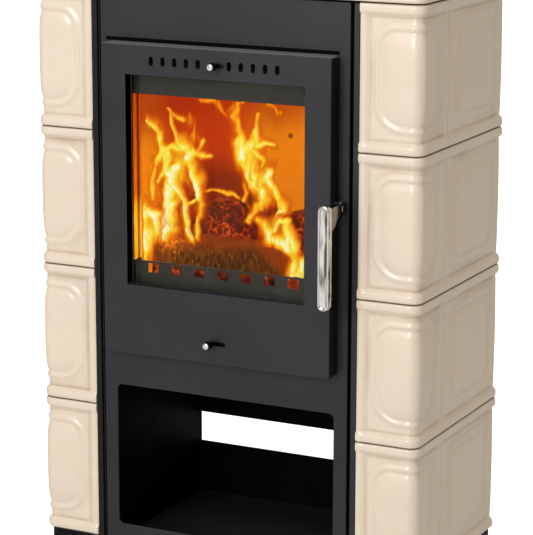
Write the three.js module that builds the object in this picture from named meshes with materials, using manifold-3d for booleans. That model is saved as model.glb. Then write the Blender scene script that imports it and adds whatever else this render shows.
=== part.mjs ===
// A wood stove clad with relief tiles: steel body, glazed fire door, wood store below,
// tile columns at both front corners and along both sides, tile cornice and steel top.
// Millimetres, +Z up, front of the stove towards -Y, origin at the middle of the base.
import * as THREE from 'three';
import { mergeVertices } from 'three/addons/utils/BufferGeometryUtils.js';
import Module from 'manifold-3d';

const wasm = await Module();
wasm.setup();

// ---------------------------------------------------------------- driving dimensions
// Clearances
const seatGap = 0.3;              // between pieces that rest on or in each other
const pinClearance = 0.3;         // radial play of pins and shafts in their holes

// Tile cladding
const overallWidth = 652;         // across the outer faces of the tile columns
const claddingDepth = 325;        // front tile face to rear tile edge
const tileHeight = 220;           // pitch of the tile rows
const tileRows = 4;
const tileWall = 14;
const tileJoint = 3;              // joint seen between two rows
const tileUprightJoint = 1.2;     // joint seen between corner and side tile
const cornerTileFront = 100.5;    // leg of the corner tile across the front
const cornerTileSide = 108;       // leg of the corner tile along the side
const cornerRadius = 24;
const beadInset = 6;              // crest of the bead, measured in from the tile edge
const grooveInset = 17;           // groove behind the bead
const reliefDepth = 6;            // bead crest to groove
const medallionBulge = 1.5;       // how far the medallion stands proud of the bead
const medallionInset = 26;        // edge of the medallion, in from the tile's upright edges
const medallionWrapInset = 27;    // the same on the side leg of a corner tile
const medallionTopInset = 31;
const medallionBottomInset = 31;

// Cornice and top
const corniceHeight = 60;
const corniceOverhang = 10;
const corniceWall = 26;
const topThickness = 3;
const topOverlap = 12;            // how far the steel top lies on the cornice
const topSlotWidth = 10;
const topSlotLength = 120;
const topSlotCount = 4;           // slots on each side of the flue
const topSlotPitch = 26;
const topSlotGap = 40;            // first slot from the flue flange
const flueDiameter = 150;
const flueWall = 2;
const flueHeight = 42;            // socket above the steel top
const flueFlange = 15;
const flueSetback = 200;          // flue axis behind the front tile face

// Steel body
const plinthHeight = 60;
const plinthInset = 5;            // plinth behind the tile faces
const plinthSheet = 2.5;
const sheet = 2;                  // folded body sheets
const railFace = 9;               // strip seen beside the tile columns
const railReach = 32;
const panelGap = 4;               // dark gap beside the front panel
const panelSetback = 4;           // front panel behind the tile face
const panelSheet = 3;
const panelReturn = 20;
const rearInset = 5;              // rear cover in front of the rear tile edges
const rearCoverBottom = 215;

// Wood store
const storeSideMargin = 22;       // wood store opening to the panel's side edge
const storeHeight = 231;
const storeLip = 26;              // bottom edge above the floor plate
const storeCorner = 8;
const storeDepth = 281;           // front tile face to rear wall
const storeVentBottom = 88;       // vent in the rear wall, above the floor plate
const storeVentHeight = 51;

// Firebox
const fireboxInset = 18;          // side of the firebox from the door's side edge
const fireboxTopMargin = 80;      // under the top of the front panel
const fireboxSheet = 3;
const fireboxFlange = 4;          // thickness of the face that the door seals on
const flangeSetback = 16;         // sealing face behind the front tile face
const mouthFlange = 25;           // face beside the firebox mouth
const fireboxRearInset = 40;      // back of the firebox before the rear tile edges
const liningThickness = 25;
const fireFloorHeight = 94;       // top of the fire bed above the firebox bottom
const smokePassage = 30;          // above the baffle
const baffleSetback = 100;        // front edge of the baffle behind the front tile face
const grateWidth = 150;
const grateDepth = 120;
const grateThickness = 8;
const ashPanWidth = 220;
const ashPanHeight = 55;
const ashPanSheet = 1.5;

// Door
const doorSideMargin = 17;        // door to the panel's side edge
const doorHeight = 483;
const doorTopMargin = 77;         // door top below the panel top
const doorStandoff = 25;          // door front before the front tile face
const doorClearance = 1.5;        // door back to front panel
const doorPlate = 4;
const doorReturn = 3;             // wall of the door's folded edge
const doorCorner = 5;
const doorBevel = 1.5;
const windowSideBorder = 42;
const windowHeight = 327;
const windowTopBorder = 46;
const windowReveal = 17;
const revealSheet = 2.5;
const glassThickness = 4;
const glassOverlap = 9;
const linerSheet = 3;
const ropeWidth = 11.4;
const ropeChannelWall = 2;
const deflectorSheet = 2;
const upperDeflectorShow = 33;    // seen below the upper window edge
const lowerDeflectorShow = 34;    // seen above the lower window edge
const deflectorHoleCount = 7;
const deflectorHoleMargin = 11.7; // row of holes to the deflector's ends
const deflectorHoleWidth = 19;
const deflectorHoleHeight = 15;
const deflectorHoleDrop = 10.5;   // hole centre below the deflector's upper edge

// Air controls
const airSlotCount = 5;           // on each side of the upper knob
const airSlotPitch = 20;
const airSlotWidth = 7.5;
const airSlotHeight = 14.5;
const airSlotGap = 52;            // between the two inner slots, centre to centre
const airSlotDrop = 24;           // slot centres below the door top
const upperTravel = 10;
const upperKnobX = 5;
const lowerTravel = 20;
const lowerKnobX = -4;
const lowerKnobRise = 33;         // lower knob above the door bottom
const sliderSheet = 2;
const sliderHeight = 20;
const lowerAirHoles = 5;
const lowerAirPitch = 26;
const lowerAirHoleWidth = 12;
const knobDiameter = 13;
const knobLength = 14;
const knobStem = 6;
const knobStandoff = 8;           // back of the knob before the door front

// Hinges
const hingeInset = 6;             // pin axis from the door's left edge
const hingeDepth = 11;            // pin axis behind the door front
const hingePin = 6;
const hingeBracket = 4;
const hingeMargin = 11;           // bracket to the door's top or bottom edge
const hingeBracketWidth = 11;
const hingeBracketNotch = 2;      // bracket's left side cut back where the open door's edge comes
const hingeLug = 6.5;

// Handle and latch
const handleDrop = 224;           // handle axis below the door top
const handleDepth = 15;           // handle axis behind the door front
const shaftDiameter = 10;
const hubDiameter = 22;
const hubLength = 12;
const bushLength = 6;
const bushWall = 4;
const gripLength = 158;
const gripWidth = 20;
const gripThickness = 12;
const gripRise = 15;              // grip top above the handle axis
const gripStandoff = 35;          // back of the grip before the door front
const gripRecess = 1.5;
const gripRim = 3.5;
const webThickness = 8;
const webDrop = 40;               // foot of the web below the grip top
const hookThickness = 5;
const hookReach = 22;             // latch nose behind the handle axis
const hookHeight = 8;
const hookNose = 10;
const latchPlay = 1;              // latch nose below its catch
const catchThickness = 3;

// ---------------------------------------------------------------- derived places
const halfWidth = overallWidth / 2;
const frontY = -claddingDepth / 2;
const rearY = claddingDepth / 2;
const tilesTop = plinthHeight + tileRows * tileHeight;
const corniceTop = tilesTop + corniceHeight;
const tileInnerX = halfWidth - cornerTileFront;
const railOuterX = tileInnerX - 0.5;
const sideSheetOuterX = railOuterX - railFace;
const sideSheetInnerX = sideSheetOuterX - sheet;
const panelHalf = sideSheetInnerX - panelGap;
const panelFrontY = frontY + panelSetback;
const panelBackY = panelFrontY + panelSheet;
const panelTop = tilesTop - 2;
const floorZ = plinthHeight;
const rearCoverY = rearY - rearInset;

const doorHalf = panelHalf - doorSideMargin;
const doorTop = panelTop - doorTopMargin;
const doorBottom = doorTop - doorHeight;
const doorFrontY = frontY - doorStandoff;
const doorPlateBackY = doorFrontY + doorPlate;
const doorBackY = panelFrontY - doorClearance;
const windowHalf = doorHalf - windowSideBorder;
const windowTop = doorTop - windowTopBorder;
const windowBottom = windowTop - windowHeight;
const linerFrontY = doorBackY - linerSheet;
const linerHalf = doorHalf - doorReturn - seatGap;
const linerTop = doorTop - doorReturn - seatGap;
const linerBottom = doorBottom + doorReturn + seatGap;

const flangeY = frontY + flangeSetback;
const fireboxHalf = doorHalf - fireboxInset;
const mouthHalf = fireboxHalf - mouthFlange;
const ropeInnerX = mouthHalf + ropeChannelWall + 2 + seatGap;
const ropeOuterX = ropeInnerX + ropeWidth;
const channelOuterX = ropeOuterX + seatGap + ropeChannelWall;
const channelTop = doorTop - 5;
const channelBottom = doorBottom + 5;
const channelWidth = channelOuterX - (ropeInnerX - seatGap - ropeChannelWall);
const channelBackY = flangeY - 5;
const mouthTop = channelTop - channelWidth - 2;
const mouthBottom = channelBottom + channelWidth + 2;

const fireboxTop = panelTop - fireboxTopMargin;
const fireboxBottom = channelBottom - 2;
const fireboxBackY = rearY - fireboxRearInset;
const fireboxInnerBackY = fireboxBackY - fireboxSheet;
const fireboxInnerFrontY = flangeY + fireboxFlange;
const fireboxInnerHalf = fireboxHalf - fireboxSheet;
const fireBedZ = fireboxBottom + fireFloorHeight;
const ledgeTop = fireBedZ - liningThickness;
const baffleZ = fireboxTop - fireboxSheet - smokePassage - liningThickness;
const flueY = frontY + flueSetback;
const flueRadius = flueDiameter / 2;

const hingeX = -doorHalf + hingeInset;
const hingeY = doorFrontY + hingeDepth;
const handleY = doorFrontY + handleDepth;
const handleZ = doorTop - handleDrop;
const hubStartX = doorHalf + bushLength + 2 * seatGap;
const gripX = hubStartX + hubLength / 2 - 1.8;
const hookX = channelOuterX + 3;
const airSlotZ = doorTop - airSlotDrop;
const lowerKnobZ = doorBottom + lowerKnobRise;

// ---------------------------------------------------------------- materials
const material = (color, roughness, metalness) =>
  new THREE.MeshStandardMaterial({ color, roughness, metalness });
const paintedSteel = material(0x3f3f43, 0.55, 0.4);
const darkSteel = material(0x242426, 0.7, 0.3);
const glazedTile = material(0xecdcc4, 0.12, 0);
const chrome = material(0xd8d8da, 0.15, 1);
const glass = new THREE.MeshStandardMaterial({ color: 0x2a2522, transparent: true, opacity: 0.3 });
const fireclay = material(0xb89a72, 0.95, 0);
const castIron = material(0x2e2c2b, 0.8, 0.5);
const sealRope = material(0x4a4a48, 0.95, 0);

// ---------------------------------------------------------------- shape helpers
const group = new THREE.Group();
group.name = 'tiled_stove';

function addPart(name, geometry, partMaterial) {
  const mesh = new THREE.Mesh(geometry, partMaterial);
  mesh.name = name;
  group.add(mesh);
}

// A box between two corners.
function block(x0, x1, y0, y1, z0, z1) {
  const geometry = new THREE.BoxGeometry(x1 - x0, y1 - y0, z1 - z0);
  return geometry.translate((x0 + x1) / 2, (y0 + y1) / 2, (z0 + z1) / 2);
}

// A rectangle with round corners, as a shape or as a hole.
function roundedRect(Kind, x0, x1, y0, y1, radius = 0) {
  const outline = new Kind();
  if (radius <= 0) {
    outline.moveTo(x0, y0).lineTo(x1, y0).lineTo(x1, y1).lineTo(x0, y1).closePath();
    return outline;
  }
  outline.moveTo(x0 + radius, y0).lineTo(x1 - radius, y0);
  outline.absarc(x1 - radius, y0 + radius, radius, -Math.PI / 2, 0);
  outline.lineTo(x1, y1 - radius);
  outline.absarc(x1 - radius, y1 - radius, radius, 0, Math.PI / 2);
  outline.lineTo(x0 + radius, y1);
  outline.absarc(x0 + radius, y1 - radius, radius, Math.PI / 2, Math.PI);
  outline.lineTo(x0, y0 + radius);
  outline.absarc(x0 + radius, y0 + radius, radius, Math.PI, 1.5 * Math.PI);
  return outline;
}

const rectShape = (...sizes) => roundedRect(THREE.Shape, ...sizes);
const rectHole = (...sizes) => roundedRect(THREE.Path, ...sizes);

function withHoles(shape, holes) {
  shape.holes.push(...holes);
  return shape;
}

// A shape extruded along Z; its holes are cut out of the plain plate one by one.
function extruded(shape, depth, curveSegments) {
  const settings = { depth, bevelEnabled: false, curveSegments };
  const cutSettings = { ...settings, depth: depth + 2 };
  const plate = new THREE.ExtrudeGeometry(new THREE.Shape(shape.getPoints(curveSegments)), settings);
  const cuts = shape.holes.map((hole) => new THREE.ExtrudeGeometry(
    new THREE.Shape(hole.getPoints(curveSegments)), cutSettings).translate(0, 0, -1));
  return cuts.length > 0 ? carve([plate], cuts) : plate;
}

// A shape drawn in X and Z, extruded from y0 to y1.
function plateXZ(shape, y0, y1, curveSegments = 3) {
  return extruded(shape, y1 - y0, curveSegments).rotateX(Math.PI / 2).translate(0, y1, 0);
}

// A shape drawn in X and Y, extruded from z0 to z1.
function plateXY(shape, z0, z1, curveSegments = 4) {
  return extruded(shape, z1 - z0, curveSegments).translate(0, 0, z0);
}

// A shape drawn in Y and Z, extruded from x0 to x1.
function plateYZ(shape, x0, x1, curveSegments = 4) {
  const axes = new THREE.Matrix4().makeBasis(
    new THREE.Vector3(0, 1, 0), new THREE.Vector3(0, 0, 1), new THREE.Vector3(1, 0, 0));
  return extruded(shape, x1 - x0, curveSegments).applyMatrix4(axes).translate(x0, 0, 0);
}

// A rectangular frame drawn in X and Z: outer edges, wall width inwards, y0 to y1.
function frameXZ(half, z0, z1, width, y0, y1, radius = 0) {
  const shape = rectShape(-half, half, z0, z1, radius);
  const innerRadius = Math.max(radius - width, 0);
  shape.holes.push(rectHole(-half + width, half - width, z0 + width, z1 - width, innerRadius));
  return plateXZ(shape, y0, y1);
}

function cylinder(radius, length, segments = 16) {
  return new THREE.CylinderGeometry(radius, radius, length, segments);
}

// Cylinders along X, Y and Z from a start coordinate.
const rodX = (radius, x0, x1, y, z, segments) =>
  cylinder(radius, x1 - x0, segments).rotateZ(Math.PI / 2).translate((x0 + x1) / 2, y, z);
const rodY = (radius, y0, y1, x, z, segments) =>
  cylinder(radius, y1 - y0, segments).translate(x, (y0 + y1) / 2, z);
const rodZ = (radius, z0, z1, x, y, segments) =>
  cylinder(radius, z1 - z0, segments).rotateX(Math.PI / 2).translate(x, y, (z0 + z1) / 2);

// A closed profile of radius and height points, turned about the Z axis.
function turned(points, segments) {
  const profile = points.map(([radius, height]) => new THREE.Vector2(radius, height));
  return new THREE.LatheGeometry(profile, segments).rotateX(Math.PI / 2);
}

function toSolid(geometry) {
  const bare = geometry.clone();
  bare.deleteAttribute('normal');
  bare.deleteAttribute('uv');
  const merged = mergeVertices(bare, 1e-4);
  return new wasm.Manifold(new wasm.Mesh({
    numProp: 3,
    vertProperties: new Float32Array(merged.attributes.position.array),
    triVerts: new Uint32Array(merged.index.array),
  }));
}

function toGeometry(solid) {
  const mesh = solid.getMesh();
  const geometry = new THREE.BufferGeometry();
  geometry.setAttribute('position', new THREE.BufferAttribute(mesh.vertProperties, 3));
  geometry.setIndex(new THREE.BufferAttribute(mesh.triVerts, 1));
  geometry.computeVertexNormals();
  return geometry;
}

// Joins the added geometries, then cuts the removed ones away.
function carve(added, removed = []) {
  let solid = toSolid(added[0]);
  for (const geometry of added.slice(1)) {
    solid = solid.add(toSolid(geometry));
  }
  for (const geometry of removed) {
    solid = solid.subtract(toSolid(geometry));
  }
  return toGeometry(solid);
}

// The same piece on the other side of the stove.
function mirrored(geometry) {
  const flipped = (geometry.index ? geometry : mergeVertices(geometry)).clone().scale(-1, 1, 1);
  const index = flipped.index.array;
  for (let i = 0; i < index.length; i += 3) {
    [index[i], index[i + 1]] = [index[i + 1], index[i]];
  }
  flipped.computeVertexNormals();
  return flipped;
}

function addPair(name, geometry, partMaterial) {
  addPart(name.replace('SIDE', 'right'), geometry, partMaterial);
  addPart(name.replace('SIDE', 'left'), mirrored(geometry), partMaterial);
}

// ---------------------------------------------------------------- plan of the cladding
// Outer line of the tiles on the right, measured along the face from the inner front edge:
// across the front, round the corner, along the side. Height is out from the face.
const frontRun = cornerTileFront - cornerRadius;
const arcRun = cornerRadius * Math.PI / 2;
const cornerRun = frontRun + arcRun + cornerTileSide - cornerRadius;
const sideRun = claddingDepth - cornerTileSide;

function claddingPoint(run, out, z) {
  if (run <= frontRun) {
    return new THREE.Vector3(tileInnerX + run, frontY - out, z);
  }
  if (run >= frontRun + arcRun) {
    const along = run - frontRun - arcRun;
    return new THREE.Vector3(halfWidth + out, frontY + cornerRadius + along, z);
  }
  const angle = (run - frontRun) / cornerRadius;
  const reach = cornerRadius + out;
  return new THREE.Vector3(
    halfWidth - cornerRadius + reach * Math.sin(angle),
    frontY + cornerRadius - reach * Math.cos(angle), z);
}

// ---------------------------------------------------------------- relief tiles
// Levels of the relief: 0 to 1 run over the medallion out to its contour, the named ones
// follow the groove, the bead and the tile edge.
const GROOVE = 2;
const BEAD = 3;
const EDGE = 4;
const cornerColumns = [0, 0.25, 0.5, 0.75, 0.92, 1, GROOVE, BEAD, EDGE];
const cornerRows = [0, 0.5, 0.85, 1, GROOVE, BEAD, EDGE];
const sideLevels = [0, 0.7, 0.92, 1, GROOVE, BEAD, EDGE];
const levelInset = { [GROOVE]: grooveInset, [BEAD]: beadInset, [EDGE]: 0 };
const levelOut = { [GROOVE]: -reliefDepth, [BEAD]: 0, [EDGE]: -2 };
const contourPower = 3.2;         // 2 is an ellipse, larger is squarer

// The levels with their mirror images, from one edge of the tile to the other.
const bothWays = (levels) => [...levels.slice(1).reverse().map((level) => -level), ...levels];

// Offset from the tile's middle and height of the relief at a point of the level grid.
function reliefAt(u, v, half, medallion) {
  const level = Math.max(Math.abs(u), Math.abs(v));
  if (level > 1) {
    const square = [u / level, v / level];
    const offset = square.map((value, axis) => value * (half[axis] - levelInset[level]));
    return { offset, out: levelOut[level] };
  }
  const square = level === 0 ? [0, 0] : [u / level, v / level];
  const reach = level === 0 ? 1
    : (Math.abs(square[0]) ** contourPower + Math.abs(square[1]) ** contourPower)
      ** (1 / contourPower);
  const offset = square.map((value, axis) =>
    medallion.middle[axis] + value * medallion.half[axis] * level / reach);
  const drop = (medallionBulge + reliefDepth * 0.8) * level ** 7;
  return { offset, out: medallionBulge - drop };
}

// A tile between two runs of the cladding line and two heights.
function reliefTile(run0, run1, z0, z1, columnLevels, rowLevels, farInset) {
  const columns = bothWays(columnLevels);
  const rows = bothWays(rowLevels);
  const faceRun = [run0 + tileUprightJoint / 2, run1 - tileUprightJoint / 2];
  const faceZ = [z0 + tileJoint / 2, z1 - tileJoint / 2];
  const middle = [(faceRun[0] + faceRun[1]) / 2, (faceZ[0] + faceZ[1]) / 2];
  const half = [(faceRun[1] - faceRun[0]) / 2, (faceZ[1] - faceZ[0]) / 2];
  const medallion = {
    middle: [(medallionInset - farInset) / 2, (medallionBottomInset - medallionTopInset) / 2],
    half: [half[0] - (medallionInset + farInset) / 2,
      half[1] - (medallionBottomInset + medallionTopInset) / 2],
  };
  const positions = [];
  const put = (run, out, z) => {
    positions.push(...claddingPoint(run, out, z).toArray());
    return positions.length / 3 - 1;
  };
  const face = columns.map((u) => rows.map((v) => {
    const { offset, out } = reliefAt(u, v, half, medallion);
    return put(middle[0] + offset[0], out, middle[1] + offset[1]);
  }));
  const lastColumn = columns.length - 1;
  const lastRow = rows.length - 1;
  const middleRow = lastRow / 2;
  const faces = [];
  for (let i = 0; i < lastColumn; i += 1) {
    for (let j = 0; j < lastRow; j += 1) {
      faces.push(face[i][j], face[i + 1][j], face[i + 1][j + 1]);
      faces.push(face[i][j], face[i + 1][j + 1], face[i][j + 1]);
    }
  }
  // The plain back, a little taller and wider than the face, carries the next tile.
  const backRun = [run0 + seatGap / 2, run1 - seatGap / 2];
  const back = columns.map((u, i) => {
    const run = backRun[0] + (backRun[1] - backRun[0]) * i / lastColumn;
    return [put(run, -tileWall, z0 + seatGap / 2), put(run, -tileWall, z1 - seatGap / 2)];
  });
  for (let i = 0; i < lastColumn; i += 1) {
    const [low, high] = back[i];
    const [lowNext, highNext] = back[i + 1];
    faces.push(low, lowNext, face[i + 1][0], low, face[i + 1][0], face[i][0]);
    faces.push(face[i][lastRow], face[i + 1][lastRow], highNext);
    faces.push(face[i][lastRow], highNext, high);
    faces.push(low, high, highNext, low, highNext, lowNext);
  }
  for (let j = 0; j < lastRow; j += 1) {
    const end = j < middleRow ? 0 : 1;
    faces.push(back[0][end], face[0][j], face[0][j + 1]);
    faces.push(back[lastColumn][end], face[lastColumn][j + 1], face[lastColumn][j]);
  }
  faces.push(back[0][0], face[0][middleRow], back[0][1]);
  faces.push(back[lastColumn][0], back[lastColumn][1], face[lastColumn][middleRow]);
  const geometry = new THREE.BufferGeometry();
  geometry.setAttribute('position', new THREE.Float32BufferAttribute(positions, 3));
  geometry.setIndex(faces);
  geometry.computeVertexNormals();
  return geometry;
}

for (let row = 1; row <= tileRows; row += 1) {
  const z1 = tilesTop - (row - 1) * tileHeight;
  const z0 = z1 - tileHeight;
  const cornerTile = reliefTile(0, cornerRun, z0, z1, cornerColumns, cornerRows,
    medallionWrapInset);
  const sideTile = reliefTile(cornerRun, cornerRun + sideRun, z0, z1, sideLevels, sideLevels,
    medallionInset);
  addPair(`corner_tile_SIDE_${row}`, cornerTile, glazedTile);
  addPair(`side_tile_SIDE_${row}`, sideTile, glazedTile);
}

// ---------------------------------------------------------------- cornice
// Section of the cornice: out from the tile face, and height above the tiles.
const corniceSection = [
  [-corniceWall, seatGap / 2], [-2, tileJoint / 2], [0, beadInset], [-2, beadInset + 6],
  [-reliefDepth, grooveInset], [-reliefDepth * 0.6, corniceHeight * 0.45],
  [corniceOverhang * 0.5, corniceHeight * 0.62], [corniceOverhang, corniceHeight * 0.72],
  [corniceOverhang, corniceHeight - 5], [corniceOverhang - 4, corniceHeight - 0.5],
  [corniceOverhang - 12, corniceHeight], [-corniceWall, corniceHeight],
];

// Sweeps the cornice section through stations given as a function of run, out and z.
function corniceRun(stations, pointAt) {
  const positions = [];
  for (const station of stations) {
    for (const [out, rise] of corniceSection) {
      positions.push(...pointAt(station, out, tilesTop + rise).toArray());
    }
  }
  const count = corniceSection.length;
  const faces = [];
  for (let s = 0; s < stations.length - 1; s += 1) {
    for (let p = 0; p < count; p += 1) {
      const q = (p + 1) % count;
      const near = s * count;
      const far = near + count;
      faces.push(near + p, far + p, far + q, near + p, far + q, near + q);
    }
  }
  const outline = corniceSection.map(([out, rise]) => new THREE.Vector2(out, rise));
  const end = (stations.length - 1) * count;
  for (const [a, b, c] of THREE.ShapeUtils.triangulateShape(outline, [])) {
    faces.push(a, b, c);
    faces.push(end + a, end + c, end + b);
  }
  const geometry = new THREE.BufferGeometry();
  geometry.setAttribute('position', new THREE.Float32BufferAttribute(positions, 3));
  geometry.setIndex(faces);
  geometry.computeVertexNormals();
  return geometry;
}

const corniceArcSteps = 6;
const corniceCornerStations = [seatGap / 2];
for (let step = 0; step <= corniceArcSteps; step += 1) {
  corniceCornerStations.push(frontRun + arcRun * step / corniceArcSteps);
}
corniceCornerStations.push(cornerRun - seatGap / 2);
const corniceSideStations = [cornerRun + seatGap / 2, cornerRun + sideRun];
addPair('cornice_corner_SIDE', corniceRun(corniceCornerStations, claddingPoint), glazedTile);
addPair('cornice_side_SIDE', corniceRun(corniceSideStations, claddingPoint), glazedTile);
const corniceFrontHalf = tileInnerX - seatGap / 2;
addPart('cornice_front', corniceRun([-corniceFrontHalf, corniceFrontHalf],
  (x, out, z) => new THREE.Vector3(x, frontY - out, z)), glazedTile);

// ---------------------------------------------------------------- plinth and floor
// Plan of the plinth: square at the rear, round at the front corners.
function plinthPlan(inset, Kind = THREE.Shape) {
  const half = halfWidth - plinthInset - inset;
  const y0 = frontY + plinthInset + inset;
  const y1 = rearCoverY - inset;
  const radius = Math.max(cornerRadius - plinthInset - inset, 1);
  const plan = new Kind();
  plan.moveTo(-half, y1).lineTo(-half, y0 + radius);
  plan.absarc(-half + radius, y0 + radius, radius, Math.PI, 1.5 * Math.PI);
  plan.lineTo(half - radius, y0);
  plan.absarc(half - radius, y0 + radius, radius, 1.5 * Math.PI, 2 * Math.PI);
  plan.lineTo(half, y1).closePath();
  return plan;
}

const plinthBase = plateXY(plinthPlan(0), 0, plinthSheet);
const floorPlateBottom = floorZ - panelSheet;
const plinthWalls = plateXY(withHoles(plinthPlan(0), [plinthPlan(plinthSheet, THREE.Path)]),
  plinthSheet / 2, floorPlateBottom - seatGap);
addPart('plinth', carve([plinthBase, plinthWalls]), darkSteel);
addPart('floor_plate', plateXY(plinthPlan(0), floorPlateBottom, floorZ), darkSteel);

// ---------------------------------------------------------------- body sheets
const bodyBottom = floorZ + seatGap;
const sideSheetFrontY = panelBackY + 1;
const sidePlan = new THREE.Shape();
const rearFlangeX = halfWidth - tileWall - seatGap;
sidePlan.moveTo(sideSheetInnerX, sideSheetFrontY);
sidePlan.lineTo(sideSheetOuterX, sideSheetFrontY);
sidePlan.lineTo(sideSheetOuterX, rearCoverY - 2 * sheet - seatGap);
sidePlan.lineTo(rearFlangeX, rearCoverY - 2 * sheet - seatGap);
sidePlan.lineTo(rearFlangeX, rearCoverY - sheet - seatGap);
sidePlan.lineTo(sideSheetInnerX, rearCoverY - sheet - seatGap).closePath();
addPair('side_panel_SIDE', plateXY(sidePlan, bodyBottom, panelTop), darkSteel);

const railPlan = new THREE.Shape();
const railFrontY = panelFrontY - 1;
railPlan.moveTo(sideSheetOuterX, railFrontY).lineTo(railOuterX, railFrontY);
railPlan.lineTo(railOuterX, railFrontY + sheet);
railPlan.lineTo(sideSheetOuterX + sheet, railFrontY + sheet);
railPlan.lineTo(sideSheetOuterX + sheet, railFrontY + railReach);
railPlan.lineTo(sideSheetOuterX, railFrontY + railReach).closePath();
addPair('tile_rail_SIDE', plateXY(railPlan, bodyBottom, panelTop), paintedSteel);

const rearVentRows = 5;
const rearVentPitch = 24;
const rearVentHalf = 70;
const rearVentHeight = 8;
const rearVentGap = 30;           // inner end of the vents from the middle
const rearCoverHalf = halfWidth - corniceWall - seatGap;
const rearCoverTop = corniceTop - seatGap;
const rearShape = rectShape(-rearCoverHalf, rearCoverHalf, rearCoverBottom, rearCoverTop);
for (let row = 0; row < rearVentRows; row += 1) {
  const z = rearCoverTop - 90 - row * rearVentPitch;
  for (const x of [-rearVentHalf - rearVentGap, rearVentHalf + rearVentGap]) {
    rearShape.holes.push(rectHole(x - rearVentHalf, x + rearVentHalf, z, z + rearVentHeight));
  }
}
addPart('rear_cover', plateXZ(rearShape, rearCoverY - sheet, rearCoverY, 2), darkSteel);

// ---------------------------------------------------------------- front panel
const storeHalf = panelHalf - storeSideMargin;
const storeBottom = floorZ + storeLip;
const storeTop = storeBottom + storeHeight;
const doorOpeningHalf = channelOuterX + 14;
const returnDepth = panelBackY + panelReturn;
const throughPanel = (shape) => plateXZ(shape, panelFrontY - 1, panelBackY + 1, 3);
addPart('front_panel', carve([
  block(-panelHalf, panelHalf, panelFrontY, returnDepth, bodyBottom, panelTop),
], [
  block(-panelHalf + sheet, panelHalf - sheet, panelBackY, returnDepth + 1, bodyBottom - 1,
    panelTop - sheet),
  throughPanel(rectShape(-doorOpeningHalf, doorOpeningHalf, channelBottom - 2.5, channelTop + 2.5)),
  throughPanel(rectShape(-storeHalf, storeHalf, storeBottom, storeTop, storeCorner)),
]), paintedSteel);

// ---------------------------------------------------------------- wood store
const storeWallHalf = storeHalf + sheet;
const storeBackY = frontY + storeDepth;
const storeFrontY = panelBackY + seatGap;
const storeCeiling = storeTop + 2;
const ribTop = fireboxBottom - seatGap;
const storeVentZ = floorZ + storeVentBottom;
const storeSheets = [
  block(-storeWallHalf, -storeHalf, storeFrontY, storeBackY + sheet, bodyBottom, storeCeiling + sheet),
  block(storeHalf, storeWallHalf, storeFrontY, storeBackY + sheet, bodyBottom, storeCeiling + sheet),
  block(-storeWallHalf, storeWallHalf, storeFrontY, storeBackY + sheet, storeCeiling, storeCeiling + sheet),
  block(-storeWallHalf, storeWallHalf, storeBackY, storeBackY + sheet, bodyBottom, storeCeiling + sheet),
];
const ribX = fireboxHalf - 30;
for (const x of [-ribX, ribX]) {
  storeSheets.push(block(x - 10, x + 10, fireboxInnerFrontY, storeBackY, storeCeiling + 1, ribTop));
}
addPart('wood_store_liner', carve(storeSheets, [
  block(-storeHalf + 1, storeHalf - 1, storeBackY - 1, storeBackY + sheet + 1,
    storeVentZ, storeVentZ + storeVentHeight),
]), darkSteel);

// ---------------------------------------------------------------- firebox
const ledgeWidth = liningThickness - 4;
addPart('firebox_shell', carve([
  block(-fireboxHalf, fireboxHalf, flangeY, fireboxBackY, fireboxBottom, fireboxTop),
], [
  block(-fireboxInnerHalf, fireboxInnerHalf, fireboxInnerFrontY, fireboxInnerBackY,
    fireboxBottom + fireboxSheet, ledgeTop - fireboxSheet - seatGap),
  block(-fireboxInnerHalf + ledgeWidth, fireboxInnerHalf - ledgeWidth, fireboxInnerFrontY,
    fireboxInnerBackY, ledgeTop - fireboxSheet - seatGap - 1, ledgeTop - seatGap + 1),
  block(-fireboxInnerHalf, fireboxInnerHalf, fireboxInnerFrontY, fireboxInnerBackY,
    ledgeTop - seatGap, fireboxTop - fireboxSheet),
  block(-mouthHalf, mouthHalf, flangeY - 1, fireboxInnerFrontY + 1, mouthBottom, mouthTop),
  rodZ(flueRadius - flueWall, fireboxTop - fireboxSheet - 1, fireboxTop + 1, 0, flueY, 24),
]), darkSteel);

const liningHalf = fireboxInnerHalf - seatGap;
const liningFrontY = fireboxInnerFrontY + seatGap;
const liningBackY = fireboxInnerBackY - seatGap;
const wallFrontOfBack = liningBackY - liningThickness;
const liningBottom = fireBedZ + seatGap;
const liningTop = baffleZ - seatGap;
addPart('lining_back', block(-liningHalf, liningHalf, wallFrontOfBack, liningBackY,
  liningBottom, liningTop), fireclay);
addPair('lining_SIDE', block(liningHalf - liningThickness, liningHalf, liningFrontY,
  wallFrontOfBack - seatGap, liningBottom, liningTop), fireclay);
addPart('baffle_plate', block(-liningHalf, liningHalf, frontY + baffleSetback, liningBackY,
  baffleZ, baffleZ + liningThickness), fireclay);

const grateHalf = grateWidth / 2;
const grateY = (liningFrontY + wallFrontOfBack) / 2;
const grateBottom = fireBedZ - grateThickness;
addPart('lining_floor', carve([
  block(-liningHalf, liningHalf, liningFrontY, liningBackY, ledgeTop, fireBedZ),
], [
  block(-grateHalf - seatGap, grateHalf + seatGap, grateY - grateDepth / 2 - seatGap,
    grateY + grateDepth / 2 + seatGap, grateBottom - seatGap, fireBedZ + 1),
  block(-grateHalf + 10, grateHalf - 10, grateY - grateDepth / 2 + 10, grateY + grateDepth / 2 - 10,
    ledgeTop - 1, fireBedZ + 1),
]), fireclay);

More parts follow.
